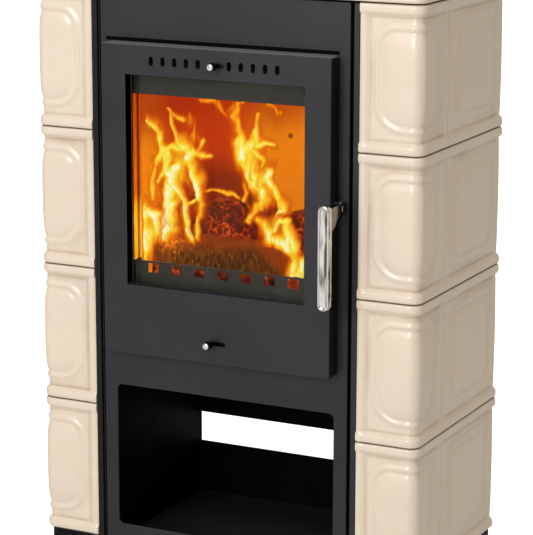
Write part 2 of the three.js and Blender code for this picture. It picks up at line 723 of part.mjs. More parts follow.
const grateSlots = [];
const grateSlotPitch = 16;
const grateSlotWidth = 7;
const grateSlotTotal = Math.floor((grateWidth - 20) / grateSlotPitch);
for (let slot = 0; slot < grateSlotTotal; slot += 1) {
  const x = (slot - (grateSlotTotal - 1) / 2) * grateSlotPitch;
  grateSlots.push(rectHole(x - grateSlotWidth / 2, x + grateSlotWidth / 2,
    grateY - grateDepth / 2 + 12, grateY + grateDepth / 2 - 12));
}
const grateShape = rectShape(-grateHalf, grateHalf, grateY - grateDepth / 2, grateY + grateDepth / 2);
addPart('grate', plateXY(withHoles(grateShape, grateSlots), grateBottom, fireBedZ), castIron);

const ashHalf = ashPanWidth / 2;
const ashFrontY = fireboxInnerFrontY + 12;
const ashBackY = fireboxInnerBackY - 30;
const ashBottom = fireboxBottom + fireboxSheet + seatGap;
const ashTop = ashBottom + ashPanHeight;
const ashGripHalf = 35;
addPart('ash_pan', carve([
  block(-ashHalf, ashHalf, ashFrontY, ashBackY, ashBottom, ashTop),
  block(-ashGripHalf, ashGripHalf, ashFrontY - 10, ashFrontY + 1, ashTop - 12, ashTop - 10),
], [
  block(-ashHalf + ashPanSheet, ashHalf - ashPanSheet, ashFrontY + ashPanSheet,
    ashBackY - ashPanSheet, ashBottom + ashPanSheet, ashTop + 1),
]), darkSteel);

// ---------------------------------------------------------------- top and flue
const topHalf = halfWidth - corniceWall + topOverlap;
const topFrontY = frontY + corniceWall - topOverlap;
const topBottom = corniceTop + seatGap;
const topHoles = [];
const topSlotStart = flueRadius + flueFlange + topSlotGap;
for (let slot = 0; slot < topSlotCount; slot += 1) {
  for (const side of [-1, 1]) {
    const x = side * (topSlotStart + slot * topSlotPitch);
    topHoles.push(rectHole(x - topSlotWidth / 2, x + topSlotWidth / 2, flueY - topSlotLength,
      flueY + topSlotLength / 2));
  }
}
const topShape = withHoles(rectShape(-topHalf, topHalf, topFrontY, rearCoverY, 12), topHoles);
addPart('top_cover', carve([plateXY(topShape, topBottom, topBottom + topThickness, 3)], [
  rodZ(flueRadius + 2, topBottom - 1, topBottom + topThickness + 1, 0, flueY, 32),
]), paintedSteel);

const flueBottom = fireboxTop + seatGap;
const flueTop = topBottom + topThickness + flueHeight;
addPart('flue_collar', turned([
  [flueRadius - flueWall, flueBottom], [flueRadius + flueFlange, flueBottom],
  [flueRadius + flueFlange, flueBottom + 3], [flueRadius, flueBottom + 3],
  [flueRadius, flueTop], [flueRadius - flueWall, flueTop],
  [flueRadius - flueWall, flueBottom],
], 24).translate(0, flueY, 0), paintedSteel);

// ---------------------------------------------------------------- door casing
// Front plate with its window, air slots and knob slots, and a bevelled front edge.
const stemClear = knobStem / 2 + 0.5;
const airSlotCentres = [];
for (let slot = 0; slot < airSlotCount; slot += 1) {
  const x = airSlotGap / 2 + slot * airSlotPitch;
  airSlotCentres.push(-x, x);
}
const slotRound = airSlotWidth / 2 - 0.1;
const throughPlate = (shape, segments) =>
  plateXZ(shape, doorFrontY - 1, doorPlateBackY + 1, segments);
const doorPlateCuts = airSlotCentres.map((x) => throughPlate(rectShape(
  x - airSlotWidth / 2, x + airSlotWidth / 2,
  airSlotZ - airSlotHeight / 2, airSlotZ + airSlotHeight / 2, slotRound), 1));
const knobSlot = (x, travel, z) => throughPlate(rectShape(
  x - stemClear, x + travel + stemClear, z - stemClear, z + stemClear, stemClear - 0.1), 2);
doorPlateCuts.push(knobSlot(upperKnobX, upperTravel, airSlotZ));
doorPlateCuts.push(knobSlot(lowerKnobX, lowerTravel, lowerKnobZ));
const doorOutline = rectShape(-doorHalf + doorBevel, doorHalf - doorBevel,
  doorBottom + doorBevel, doorTop - doorBevel, doorCorner - doorBevel);
const doorBlank = new THREE.ExtrudeGeometry(doorOutline, {
  depth: doorBackY - doorFrontY - doorBevel, bevelEnabled: true, bevelSegments: 2, steps: 1,
  bevelSize: doorBevel, bevelThickness: doorBevel, curveSegments: 2,
}).rotateX(Math.PI / 2).translate(0, doorBackY, 0);
const doorInnerHalf = doorHalf - doorReturn;
const doorHollow = plateXZ(rectShape(-doorInnerHalf, doorInnerHalf, doorBottom + doorReturn,
  doorTop - doorReturn, doorCorner - doorReturn), doorPlateBackY, doorBackY + doorBevel + 1, 2);
const backTrim = block(-doorHalf - 1, doorHalf + 1, doorBackY, doorBackY + doorBevel + 1,
  doorBottom - 1, doorTop + 1);
const revealBlock = block(-windowHalf - revealSheet, windowHalf + revealSheet, doorPlateBackY - 1,
  doorFrontY + windowReveal, windowBottom - revealSheet, windowTop + revealSheet);
const windowCut = block(-windowHalf, windowHalf, doorFrontY - 1, doorFrontY + windowReveal + 1,
  windowBottom, windowTop);
const doorTray = carve([doorBlank], [doorHollow, backTrim]);

// Hinge lugs above and below each bracket, inside the door's left edge.
const upperBracketZ = doorTop - hingeMargin - hingeBracket;
const lowerBracketZ = doorBottom + hingeMargin;
const bracketHalf = hingeBracketWidth / 2;
const lugHoleRadius = hingePin / 2 + pinClearance;
const doorLugs = [];
const doorCuts = [];
for (const z of [upperBracketZ, lowerBracketZ]) {
  for (const lugZ of [z - 1 - hingeLug, z + hingeBracket + 1]) {
    doorLugs.push(block(-doorHalf + 1, hingeX + bracketHalf, doorPlateBackY - 1, linerFrontY - seatGap,
      lugZ, lugZ + hingeLug));
  }
  doorCuts.push(rodZ(lugHoleRadius, z - hingeLug - 2, z + hingeBracket + hingeLug + 2, hingeX, hingeY));
  doorCuts.push(block(-doorHalf - 1, hingeX + bracketHalf + 1, doorPlateBackY, doorBackY + 1,
    z - 1, z + hingeBracket + 1));
}

const airIntakeHalf = 18;
const airIntakes = [-90, -30, 30, 90].map((x) =>
  block(x - airIntakeHalf, x + airIntakeHalf, doorPlateBackY + 3, linerFrontY - 3,
    doorBottom - 1, doorBottom + doorReturn + 1));
addPart('door_frame', carve([doorTray, revealBlock, ...doorLugs], [
  windowCut, ...doorPlateCuts, ...doorCuts, ...airIntakes,
  rodX(shaftDiameter / 2 + pinClearance, doorInnerHalf - 1, doorHalf + 1, handleY, handleZ),
]), paintedSteel);

// ---------------------------------------------------------------- hinges
const bracketBackY = panelFrontY - seatGap;
for (const [place, z] of [['upper', upperBracketZ], ['lower', lowerBracketZ]]) {
  addPart(`hinge_bracket_${place}`, carve([
    block(hingeX - bracketHalf + hingeBracketNotch, hingeX + bracketHalf, hingeY, bracketBackY,
      z, z + hingeBracket),
    rodZ(bracketHalf, z, z + hingeBracket, hingeX, hingeY),
  ], [
    rodZ(lugHoleRadius, z - 1, z + hingeBracket + 1, hingeX, hingeY),
  ]), darkSteel);
  addPart(`hinge_pin_${place}`, rodZ(hingePin / 2, z - hingeLug - 0.5, z + hingeBracket + hingeLug + 0.5,
    hingeX, hingeY, 12), chrome);
}

// ---------------------------------------------------------------- door lining, glass and seal
const linerWindowHalf = ropeInnerX - seatGap - ropeChannelWall - 0.5;
const linerWindowTop = windowTop + glassOverlap;
const linerWindowBottom = windowBottom - glassOverlap - 4;
const linerCuts = [];
for (let hole = 0; hole < lowerAirHoles; hole += 1) {
  const x = (hole - (lowerAirHoles - 1) / 2) * lowerAirPitch;
  linerCuts.push(block(x - lowerAirHoleWidth / 2, x + lowerAirHoleWidth / 2,
    linerFrontY - 1, doorBackY + 1, lowerKnobZ - 7, lowerKnobZ + 7));
}
const hookSlotTop = handleZ + hookHeight / 2 + hookNose + 2;
const hookSlotBottom = handleZ - hookReach - 6;
const innerWallX = ropeInnerX - seatGap;
const outerWallX = channelOuterX;
const ropeTop = channelTop - ropeChannelWall - seatGap;
const ropeBottom = channelBottom + ropeChannelWall + seatGap;
const linerPlate = plateXZ(withHoles(rectShape(-linerHalf, linerHalf, linerBottom, linerTop,
  doorCorner - doorReturn), [rectHole(-linerWindowHalf, linerWindowHalf, linerWindowBottom, linerWindowTop)]),
  linerFrontY, doorBackY);
const outerChannel = frameXZ(outerWallX, channelBottom, channelTop, ropeChannelWall,
  doorBackY - 1, channelBackY);
const innerChannel = frameXZ(innerWallX, ropeBottom + ropeWidth + seatGap, ropeTop - ropeWidth - seatGap,
  ropeChannelWall, doorBackY - 1, channelBackY);
const bracketNotches = [upperBracketZ, lowerBracketZ].map((z) =>
  block(-linerHalf - 1, hingeX + bracketHalf + 1, linerFrontY - 1, doorBackY + 1,
    z - 1, z + hingeBracket + 1));
addPart('door_liner', carve([linerPlate, outerChannel, innerChannel], [
  ...linerCuts, ...bracketNotches,
  block(hookX - 1.5, hookX + hookThickness + 1.5, linerFrontY - 1, doorBackY + 1,
    hookSlotBottom, hookSlotTop),
]), darkSteel);

const ropeBackY = flangeY - seatGap;
addPart('door_rope_seal', frameXZ(ropeOuterX, ropeBottom, ropeTop, ropeWidth,
  doorBackY + seatGap, ropeBackY), sealRope);

const glassBackY = linerFrontY - 0.5;
const glassFrontY = glassBackY - glassThickness;
const revealBackY = doorFrontY + windowReveal;
addPart('door_glass', block(-windowHalf - glassOverlap, windowHalf + glassOverlap, glassFrontY,
  glassBackY, windowBottom - glassOverlap, windowTop + glassOverlap), glass);
addPart('glass_gasket', frameXZ(windowHalf + glassOverlap - 1, windowBottom - glassOverlap + 1,
  windowTop + glassOverlap - 1, glassOverlap - 1.5, revealBackY + seatGap, glassFrontY - seatGap), sealRope);

const deflectorHalf = innerWallX - ropeChannelWall - seatGap;
const deflectorFrontY = doorBackY + seatGap;
const lowerDeflectorTop = windowBottom + lowerDeflectorShow;
const deflectorHolePitch = 2 * (deflectorHalf - deflectorHoleMargin) / deflectorHoleCount;
const deflectorHoles = [];
for (let hole = 0; hole < deflectorHoleCount; hole += 1) {
  const x = (hole - (deflectorHoleCount - 1) / 2) * deflectorHolePitch;
  const z = lowerDeflectorTop - deflectorHoleDrop;
  deflectorHoles.push(rectHole(x - deflectorHoleWidth / 2, x + deflectorHoleWidth / 2,
    z - deflectorHoleHeight / 2, z + deflectorHoleHeight / 2));
}
const lowerDeflector = withHoles(rectShape(-deflectorHalf, deflectorHalf,
  linerWindowBottom - 10, lowerDeflectorTop), deflectorHoles);
addPart('lower_air_deflector', plateXZ(lowerDeflector, deflectorFrontY,
  deflectorFrontY + deflectorSheet), darkSteel);
addPart('upper_air_deflector', block(-deflectorHalf, deflectorHalf, deflectorFrontY,
  deflectorFrontY + deflectorSheet, windowTop - upperDeflectorShow, linerWindowTop + 8), darkSteel);

// ---------------------------------------------------------------- air sliders
// A knob turned on an axis along Y, open at the back for the slider's stem.
function knobAt(x, z) {
  const bore = knobStem / 2 + seatGap;
  const outer = knobDiameter / 2;
  const backY = doorFrontY - knobStandoff;
  const boreDepth = knobLength * 0.55;
  const knob = new THREE.LatheGeometry([
    [0, boreDepth], [bore, boreDepth], [bore, 0], [outer - 0.8, 0], [outer, 0.8],
    [outer - 0.6, knobLength * 0.35], [outer, knobLength * 0.7], [outer - 1.5, knobLength - 0.4],
    [0, knobLength],
  ].map(([radius, height]) => new THREE.Vector2(radius, height)), 14);
  return knob.rotateX(Math.PI).translate(x, backY, z);
}

function stemTo(x, z, backY) {
  const frontEnd = doorFrontY - knobStandoff - knobLength * 0.55 + seatGap;
  return rodY(knobStem / 2, frontEnd, backY, x, z, 12);
}

const upperSliderFrontY = doorPlateBackY + seatGap;
const upperSliderBackY = upperSliderFrontY + sliderSheet;
const upperSliderReach = airSlotGap / 2 + airSlotCount * airSlotPitch;
const upperSliderHoles = airSlotCentres.map((x) =>
  rectHole(x - airSlotWidth / 2, x + airSlotWidth / 2, airSlotZ - airSlotHeight / 2 + 0.5,
    airSlotZ + airSlotHeight / 2 - 0.5));
const upperSliderShape = withHoles(rectShape(-upperSliderReach, upperSliderReach,
  airSlotZ - sliderHeight / 2, airSlotZ + sliderHeight / 2 + 2), upperSliderHoles);
addPart('upper_air_slider', carve([
  plateXZ(upperSliderShape, upperSliderFrontY, upperSliderBackY),
  stemTo(upperKnobX, airSlotZ, upperSliderFrontY + 1),
]), darkSteel);
addPart('upper_air_knob', knobAt(upperKnobX, airSlotZ), chrome);

const lowerSliderBackY = linerFrontY - seatGap;
const lowerSliderFrontY = lowerSliderBackY - sliderSheet;
const lowerSliderReach = lowerAirHoles * lowerAirPitch / 2 + lowerTravel / 2;
const lowerSliderHoles = [];
for (let hole = 0; hole < lowerAirHoles; hole += 1) {
  const x = (hole - (lowerAirHoles - 1) / 2) * lowerAirPitch;
  if (Math.abs(x - lowerKnobX) > lowerAirHoleWidth) {
    lowerSliderHoles.push(rectHole(x - lowerAirHoleWidth / 2, x + lowerAirHoleWidth / 2,
      lowerKnobZ - 6, lowerKnobZ + 6));
  }
}
const lowerSliderShape = withHoles(rectShape(-lowerSliderReach, lowerSliderReach,
  lowerKnobZ - sliderHeight / 2, lowerKnobZ + sliderHeight / 2), lowerSliderHoles);
addPart('lower_air_slider', carve([
  plateXZ(lowerSliderShape, lowerSliderFrontY, lowerSliderBackY),
  stemTo(lowerKnobX, lowerKnobZ, lowerSliderFrontY + 1),
]), darkSteel);
addPart('lower_air_knob', knobAt(lowerKnobX, lowerKnobZ), chrome);

// ---------------------------------------------------------------- handle and latch
const shaftRadius = shaftDiameter / 2;
const bushRadius = shaftRadius + pinClearance + bushWall;
const bushStartX = doorHalf + seatGap;
addPart('handle_bush', carve([
  rodX(bushRadius, bushStartX, bushStartX + bushLength, handleY, handleZ, 20),
], [
  rodX(shaftRadius + pinClearance, bushStartX - 1, bushStartX + bushLength + 1, handleY, handleZ),
]), chrome);

const hubEndX = hubStartX + hubLength;
const shaftEndX = hubEndX - 3.5;
addPart('handle_shaft', rodX(shaftRadius, hookX - 2, shaftEndX, handleY, handleZ), chrome);

const gripFrontY = doorFrontY - gripStandoff - gripThickness;
const gripBackY = doorFrontY - gripStandoff;
const gripTop = handleZ + gripRise;
const gripBottom = gripTop - gripLength;
const gripHalf = gripWidth / 2;
const gripBar = plateXZ(rectShape(gripX - gripHalf, gripX + gripHalf, gripBottom, gripTop,
  gripHalf - 0.2), gripFrontY, gripBackY, 5);
const gripHollow = plateXZ(rectShape(gripX - gripHalf + gripRim, gripX + gripHalf - gripRim,
  gripBottom + gripRim, gripTop - gripRim, gripHalf - gripRim - 0.2),
  gripFrontY - 1, gripFrontY + gripRecess, 5);
const hubRadius = hubDiameter / 2;
const web = new THREE.Shape();
web.moveTo(gripBackY - 2, gripTop - 5).lineTo(gripBackY - 2, gripTop - webDrop);
web.lineTo(handleY - 4, handleZ - hubRadius + 1.5).lineTo(handleY + 2, handleZ);
web.lineTo(handleY - 2, handleZ + hubRadius - 1.5).closePath();
addPart('handle_lever', carve([
  rodX(hubRadius, hubStartX, hubEndX, handleY, handleZ, 20),
  plateYZ(web, gripX - webThickness / 2, gripX + webThickness / 2),
  gripBar,
], [
  gripHollow,
  rodX(shaftRadius + pinClearance, hubStartX - 1, shaftEndX + seatGap, handleY, handleZ),
]), chrome);

const hookRing = shaftRadius + pinClearance + 3.5;
const noseY = handleY + hookReach;
const hookArm = new THREE.Shape();
hookArm.moveTo(handleY, handleZ - hookHeight / 2);
hookArm.lineTo(noseY, handleZ - hookHeight / 2).lineTo(noseY, handleZ + hookNose);
hookArm.lineTo(noseY - 4, handleZ + hookNose).lineTo(noseY - 6, handleZ + hookHeight / 2);
hookArm.lineTo(handleY, handleZ + hookHeight / 2).closePath();
addPart('latch_hook', carve([
  rodX(hookRing, hookX, hookX + hookThickness, handleY, handleZ),
  plateYZ(hookArm, hookX, hookX + hookThickness),
], [
  rodX(shaftRadius + pinClearance, hookX - 1, hookX + hookThickness + 1, handleY, handleZ),
]), darkSteel);

const catchBottom = handleZ + hookNose + latchPlay;
const catchTop = catchBottom + 18;
const catchFrontY = noseY - 5.5 - catchThickness;
addPart('latch_catch', carve([
  block(hookX - 2, hookX + hookThickness + 2, catchFrontY, catchFrontY + catchThickness,
    catchBottom, catchTop),
  block(hookX - 2, hookX + hookThickness + 2, catchFrontY, flangeY - seatGap,
    catchTop - 4, catchTop),
]), darkSteel);

export default group;
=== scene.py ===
"""Looks of a tiled wood stove with its fire burning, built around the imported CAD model.

Front of the stove towards -Y, +Z up. Meshes are written in millimetres and scaled by MM. The
camera, the lights and the places that materials ask for are in metres.
"""
import math

import bpy
import numpy as np
from mathutils import Matrix, Vector


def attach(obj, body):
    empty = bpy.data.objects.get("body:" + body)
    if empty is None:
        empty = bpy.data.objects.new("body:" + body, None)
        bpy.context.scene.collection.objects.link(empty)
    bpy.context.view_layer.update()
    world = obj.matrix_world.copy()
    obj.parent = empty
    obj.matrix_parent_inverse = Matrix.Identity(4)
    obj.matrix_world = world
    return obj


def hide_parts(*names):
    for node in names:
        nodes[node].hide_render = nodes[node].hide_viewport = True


MM = 0.001
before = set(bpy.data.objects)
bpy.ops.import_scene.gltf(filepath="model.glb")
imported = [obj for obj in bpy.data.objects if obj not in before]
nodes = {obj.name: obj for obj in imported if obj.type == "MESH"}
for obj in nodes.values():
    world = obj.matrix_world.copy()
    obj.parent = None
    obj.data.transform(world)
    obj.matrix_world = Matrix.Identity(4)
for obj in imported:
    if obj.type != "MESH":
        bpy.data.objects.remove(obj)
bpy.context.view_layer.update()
scene = bpy.context.scene


# ---- camera
CAMERA_PLACE = (1.5764, -3.1589, 1.2992)
CAMERA_YAW, CAMERA_PITCH, CAMERA_ROLL = 26.59, 12.81, 0.109
CAMERA_LENS = 153.61
CAMERA_SHIFT_Y = -0.0049


def turned(degrees, axis, size=4):
    return Matrix.Rotation(math.radians(degrees), size, axis)


def add_object(name, data):
    made = bpy.data.objects.new(name, data)
    scene.collection.objects.link(made)
    return made


def add_camera():
    data = bpy.data.cameras.new("camera")
    data.lens = CAMERA_LENS
    data.shift_y = CAMERA_SHIFT_Y
    data.clip_end = 50
    scene.camera = add_object("camera", data)
    scene.camera.matrix_world = (Matrix.Translation(CAMERA_PLACE) @ turned(CAMERA_YAW, "Z")
                                 @ turned(90 - CAMERA_PITCH, "X") @ turned(CAMERA_ROLL, "Z"))


add_camera()


# ---- colours and nodes
BLACK = (0, 0, 0)
WHITE = (255, 255, 255)


def linear(colour):
    """Linear colour with alpha. Three numbers are sRGB levels of 0..255, four are linear already."""
    if len(colour) == 4:
        return colour
    values = []
    for level in colour:
        share = level / 255
        values.append(share / 12.92 if share <= 0.04045 else ((share + 0.055) / 1.055) ** 2.4)
    return (*values, 1)


def feed(tree, socket, value):
    """Links a socket to another one, or sets it to a number, vector or colour."""
    if isinstance(value, bpy.types.NodeSocket):
        tree.links.new(value, socket)
    else:
        socket.default_value = linear(value) if socket.type == "RGBA" else value


def add_node(tree, kind, inputs=None, **settings):
    made = tree.nodes.new(f"ShaderNode{kind}")
    for key, value in settings.items():
        setattr(made, key, value)
    for key, value in (inputs or {}).items():
        feed(tree, made.inputs[key], value)
    return made


def compute(tree, operation, first, second=0):
    return add_node(tree, "Math", {0: first, 1: second}, operation=operation).outputs[0]


class Look:
    """A material with a Principled shader and short calls for the nodes that feed it."""

    def __init__(self, name, **sockets):
        self.material = bpy.data.materials.new(name)
        self.material.use_nodes = True
        self.tree = self.material.node_tree
        self.shader = self.tree.nodes["Principled BSDF"]
        self.place = self.node("TexCoord").outputs["Object"]
        self.x, self.y, self.z = self.node("SeparateXYZ", {"Vector": self.place}).outputs
        self.shade(**sockets)

    def node(self, kind, inputs=None, **settings):
        return add_node(self.tree, kind, inputs, **settings)

    def shade(self, **sockets):
        """Sets or links sockets of the shader. An underscore stands for a space in their names."""
        for name, value in sockets.items():
            feed(self.tree, self.shader.inputs[name.replace("_", " ")], value)

    def stretched(self, *scale):
        return self.node("Mapping", {"Vector": self.place, "Scale": scale}).outputs["Vector"]

    def noise(self, scale, detail=3, roughness=0.55, vector=None):
        return self.node("TexNoise", {
            "Vector": vector or self.place, "Scale": scale, "Detail": detail,
            "Roughness": roughness}).outputs["Fac"]

    def cells(self, scale, vector, feature="DISTANCE_TO_EDGE", output="Distance"):
        return self.node("TexVoronoi", {"Vector": vector, "Scale": scale},
                         feature=feature).outputs[output]

    def attribute(self, name):
        return self.node("Attribute", attribute_name=name).outputs["Fac"]

    def span(self, value, low, high, to_low=0, to_high=1, smooth=False):
        return self.node("MapRange", {
            "Value": value, "From Min": low, "From Max": high, "To Min": to_low, "To Max": to_high},
            interpolation_type="SMOOTHSTEP" if smooth else "LINEAR").outputs["Result"]

    def math(self, operation, first, second=0):
        return compute(self.tree, operation, first, second)

    def plus(self, first, second):
        return self.math("ADD", first, second)

    def times(self, first, second):
        return self.math("MULTIPLY", first, second)

    def above(self, value, limit):
        return self.math("GREATER_THAN", value, limit)

    def within(self, value, reach, middle=0):
        """1 where a value is less than reach away from the middle."""
        return self.math("LESS_THAN", self.off(value, middle), reach)

    def off(self, value, middle=0):
        return self.math("ABSOLUTE", self.math("SUBTRACT", value, middle))

    def blend(self, factor, first, second):
        return self.node("Mix", {"Factor": factor, "A": first, "B": second},
                         data_type="RGBA").outputs["Result"]

    def fade(self, first, second, value, *span, **kind):
        """Blends from first to second over a span of a value."""
        return self.blend(self.span(value, *span, **kind), first, second)

    def ramp(self, value, *stops):
        """A colour for a value, through stops of a value and its colour."""
        made = self.node("ValToRGB", {"Fac": value})
        elements = made.color_ramp.elements
        for element, (position, *colour) in zip(elements, (stops[0], stops[-1])):
            element.position, element.color = position, linear(colour)
        for position, *colour in stops[1:-1]:
            elements.new(position).color = linear(colour)
        return made.outputs["Color"]

    def finish(self, *bumps, **sockets):
        """Sets sockets, adds bumps, each a height and its depth in metres, and gives the material."""
        normal = None
        for height, depth in bumps:
            made = self.node("Bump", {"Height": height, "Strength": 1, "Distance": depth})
            if normal is not None:
                self.tree.links.new(normal, made.inputs["Normal"])
            normal = made.outputs["Normal"]
        self.shade(Normal=normal, **sockets)
        return self.material


# ---- materials
WINDOW_Z = 0.6525
WINDOW_HALF_HEIGHT = 0.1615
CLEAR_HALF_HEIGHT = 0.1300
GAP_SHADOW_X, GAP_SHADOW_Z = -0.0035, 0.8640
GAP_SHADOW_HALF_WIDTH, GAP_SHADOW_HALF_HEIGHT = 0.1965, 0.0028
DOOR_TOP_Z = 0.8590
DOOR_SIDE_X = 0.1927
KNOB_FACE_Y = -0.2086
LINING_BASE_Z, LINING_TOP_Z = 0.4755, 0.803
LOG_MIDDLE_X = -0.029
AIR_HOLES = ((-0.068, 0.0942, 0.688), (-0.009, 0.0942, 0.689))


def glaze_look():
    """Cream glaze with painted shade, darker and browner, in the grooves, and bare clay on the hidden
    edges.
    """
    look = Look("glazed_tile", Roughness=0.36, IOR=1.45, Coat_Weight=0.6, Coat_Roughness=0.12,
                Coat_IOR=1.45)
    mottle = look.noise(45, 3)
    body = look.fade((231, 217, 200), (234, 221, 202), look.noise(7, 2), 0.35, 0.65)
    body = look.fade(body, (226, 207, 181), mottle, 0.4, 0.75, 0, 0.22)
    # Painted shade: the glaze turns darker and browner where the relief is sunk deep.
    groove_shade = look.times(look.attribute("recess"), look.span(mottle, 0.3, 0.7, 0.75, 1))
    body = look.fade(body, (168, 138, 102), groove_shade, 0.12, 0.9, 0, 0.72)
    return look.finish((look.noise(24, 1), 0.0005),
                       Base_Color=look.blend(look.attribute("bare"), body, (112, 88, 60)))


def paint_look(name, colour, worn, rough, specular, reveal=None, gap_shadow=False, casing_light_and_shade=False):
    """Satin paint with a fine grain.

    reveal: half width, front and glass plane of the window's reveal, with painted firelight behind the
    glass, straw below and amber higher, and painted shade, black, in front of it.
    seam: a painted shadow, the black line above the door. casing: painted light on the upward-facing
    top of the door's upper edge, and painted shade on its near-black sides.
    """
    look = Look(name, Metallic=0, IOR=1.5, Specular_IOR_Level=specular)
    body = look.fade(colour, worn, look.noise(6, 3), 0.35, 0.7)
    body = look.fade(body, worn, look.noise(1500, 2, 0.6), 0.55, 0.8, 0, 0.35)
    if reveal:
        half_width, front, glass = reveal
        place = look.times(look.within(look.x, half_width), look.above(look.y, front))
        place = look.times(place, look.within(look.z, WINDOW_HALF_HEIGHT, WINDOW_Z))
        # Painted firelight on the reveal behind the glass: straw-yellow low, amber higher, grey beyond
        # the clear height.
        firelight_tint = look.fade((189, 154, 57), (140, 79, 16), look.z, 0.590, 0.625)
        firelight_tint = look.blend(look.within(look.z, CLEAR_HALF_HEIGHT, WINDOW_Z), (40, 42, 40), firelight_tint)
        # In front of the glass the reveal is black without shine, a painted shade.
        body = look.blend(place, body, look.blend(look.above(look.y, glass), BLACK, firelight_tint))
        look.shade(Specular_IOR_Level=look.span(place, 0, 1, specular, 0))
    if gap_shadow:
        # A painted shadow: a black line on the panel just above the door.
        line = look.times(look.within(look.z, GAP_SHADOW_HALF_HEIGHT, GAP_SHADOW_Z),
                          look.within(look.x, GAP_SHADOW_HALF_WIDTH, GAP_SHADOW_X))
        body = look.blend(line, body, BLACK)
        look.shade(Specular_IOR_Level=look.span(line, 0, 1, specular, 0.05))
    if casing_light_and_shade:
        normal = look.node("NewGeometry").outputs["Normal"]
        facing_up = look.node("SeparateXYZ", {"Vector": normal}).outputs["Z"]
        # Painted light: upward-facing faces of the door's upper edge are pale.
        upper = look.times(look.span(facing_up, 0.3, 0.8), look.above(look.z, DOOR_TOP_Z))
        body = look.blend(upper, body, (118, 118, 124))
        # Painted shade: the door's sides are near black.
        body = look.blend(look.above(look.off(look.x), DOOR_SIDE_X), body, (5, 5, 6))
    rough = look.span(look.noise(14, 4), 0.3, 0.7, rough - 0.05, rough + 0.06)
    return look.finish((look.noise(900, 2, 0.6), 0.00005), (look.noise(4, 1), 0.0006),
                       Base_Color=body, Roughness=rough)


def chrome_look(name, bright, dim, face=None):
    """Polished steel, with a painted reflection of dark streaks in the dish of the grip. Behind face,
    a place along Y, it is dark.
    """
    look = Look(name, Metallic=1)
    scratch = look.noise(1, 3, 0.7, look.stretched(900, 900, 60))
    smudge = look.noise(55, 4, 0.6)
    # A painted reflection: dark streaks across the dish of the grip.
    reflection_streaks = look.noise(1, 2, 0.6, look.stretched(190, 60, 17))
    painted_reflection = look.times(look.span(reflection_streaks, 0.46, 0.62), look.span(look.y, -0.2343, -0.2333))
    painted_reflection = look.times(painted_reflection, look.span(look.y, -0.2280, -0.2300))
    body = look.blend(painted_reflection, look.fade(bright, dim, smudge, 0.35, 0.7), (92, 88, 82))
    if face:
        body = look.fade(body, (44, 43, 44), look.y, face, face + 0.0006)
    rough = look.plus(look.span(smudge, 0.35, 0.75, 0.06, 0.16), look.span(scratch, 0.6, 0.8, 0, 0.1))
    return look.finish((look.noise(70, 2), 0.0007), (scratch, 0.00002), Base_Color=body,
                       Roughness=rough)


def glass_look():
    """Clear glass with a faint warm haze."""
    look = Look("door_glass", Roughness=0, IOR=1.09, Transmission_Weight=1,
                Specular_IOR_Level=0.5)
    look.shade(Base_Color=look.fade((1, 0.97, 0.93, 1), (0.95, 0.90, 0.84, 1),
                                    look.noise(26, 4, 0.6), 0.35, 0.75))
    return look.material


def fireclay_look():
    """Fire bricks with soot and fine cracks. Their emission is painted firelight, deep red at the back
    left and orange towards the middle, right and front, with painted shade low down, at the lining's
    base and top and in the air holes.
    """
    look = Look("fireclay", Roughness=0.92, IOR=1.4, Specular_IOR_Level=0.15)
    grain = look.noise(260, 5, 0.65)
    stain = look.noise(11, 5, 0.6)
    body = look.fade((80, 46, 16), (60, 34, 12), grain, 0.3, 0.75)
    soot = look.plus(look.z, look.span(stain, 0.3, 0.7, -0.07, 0.07))
    body = look.fade(body, (36, 24, 18), soot, 0.62, 0.86, 0, 0.75, smooth=True)
    crack = look.times(look.span(look.cells(13, look.place), 0, 0.012, 1, 0),
                       look.span(stain, 0.5, 0.6))
    body = look.blend(look.times(crack, 0.7), body, (30, 18, 12))
    drift = look.noise(10, 5, 0.6, look.stretched(1, 1, 0.5))
    # Painted firelight: an emission from deep red at the back left to orange towards the middle, right
    # and front, redder higher up.
    near = look.math("MAXIMUM", look.span(look.x, -0.125, -0.045), look.span(look.y, -0.05, -0.105))
    near = look.plus(near, look.span(drift, 0.3, 0.7, -0.16, 0.16))
    painted_firelight = look.ramp(near, (0, 190, 50, 4), (0.35, 203, 70, 5), (0.7, 222, 110, 6),
                     (1, 230, 134, 6))
    height = look.plus(look.z, look.span(drift, 0.3, 0.7, -0.02, 0.02))
    painted_firelight = look.fade(painted_firelight, (168, 36, 2), height, 0.688, 0.762, 0, 0.85, smooth=True)
    # Painted shade low down at the back left.
    shade = look.times(look.span(height, 0.67, 0.60, 0, 0.85, smooth=True),
                       look.span(near, 0.75, 0.35))
    painted_firelight = look.blend(shade, painted_firelight, (96, 18, 5))
    painted_firelight = look.fade(painted_firelight, (150, 40, 2), grain, 0.3, 0.75, 0, 0.12)
    painted_firelight = look.blend(look.times(crack, 0.4), painted_firelight, (60, 12, 2))
    # Painted shade at the base and the top of the lining.
    painted_firelight = look.fade(painted_firelight, (24, 9, 3), look.z, LINING_BASE_Z + 0.0035, LINING_BASE_Z)
    painted_firelight = look.fade(painted_firelight, BLACK, look.z, LINING_TOP_Z, LINING_TOP_Z + 0.007)
    # Painted shade in the air holes.
    for hole in AIR_HOLES:
        gap = look.node("VectorMath", {0: look.place, 1: hole}, operation="DISTANCE")
        painted_firelight = look.fade(painted_firelight, (60, 10, 2), gap.outputs["Value"], 0.0030, 0.0055, 0.9, 0)
    return look.finish((grain, 0.0006), (look.noise(35, 4), 0.0012), (crack, 0.0008),
                       Base_Color=body, Emission_Color=painted_firelight, Emission_Strength=0.84)


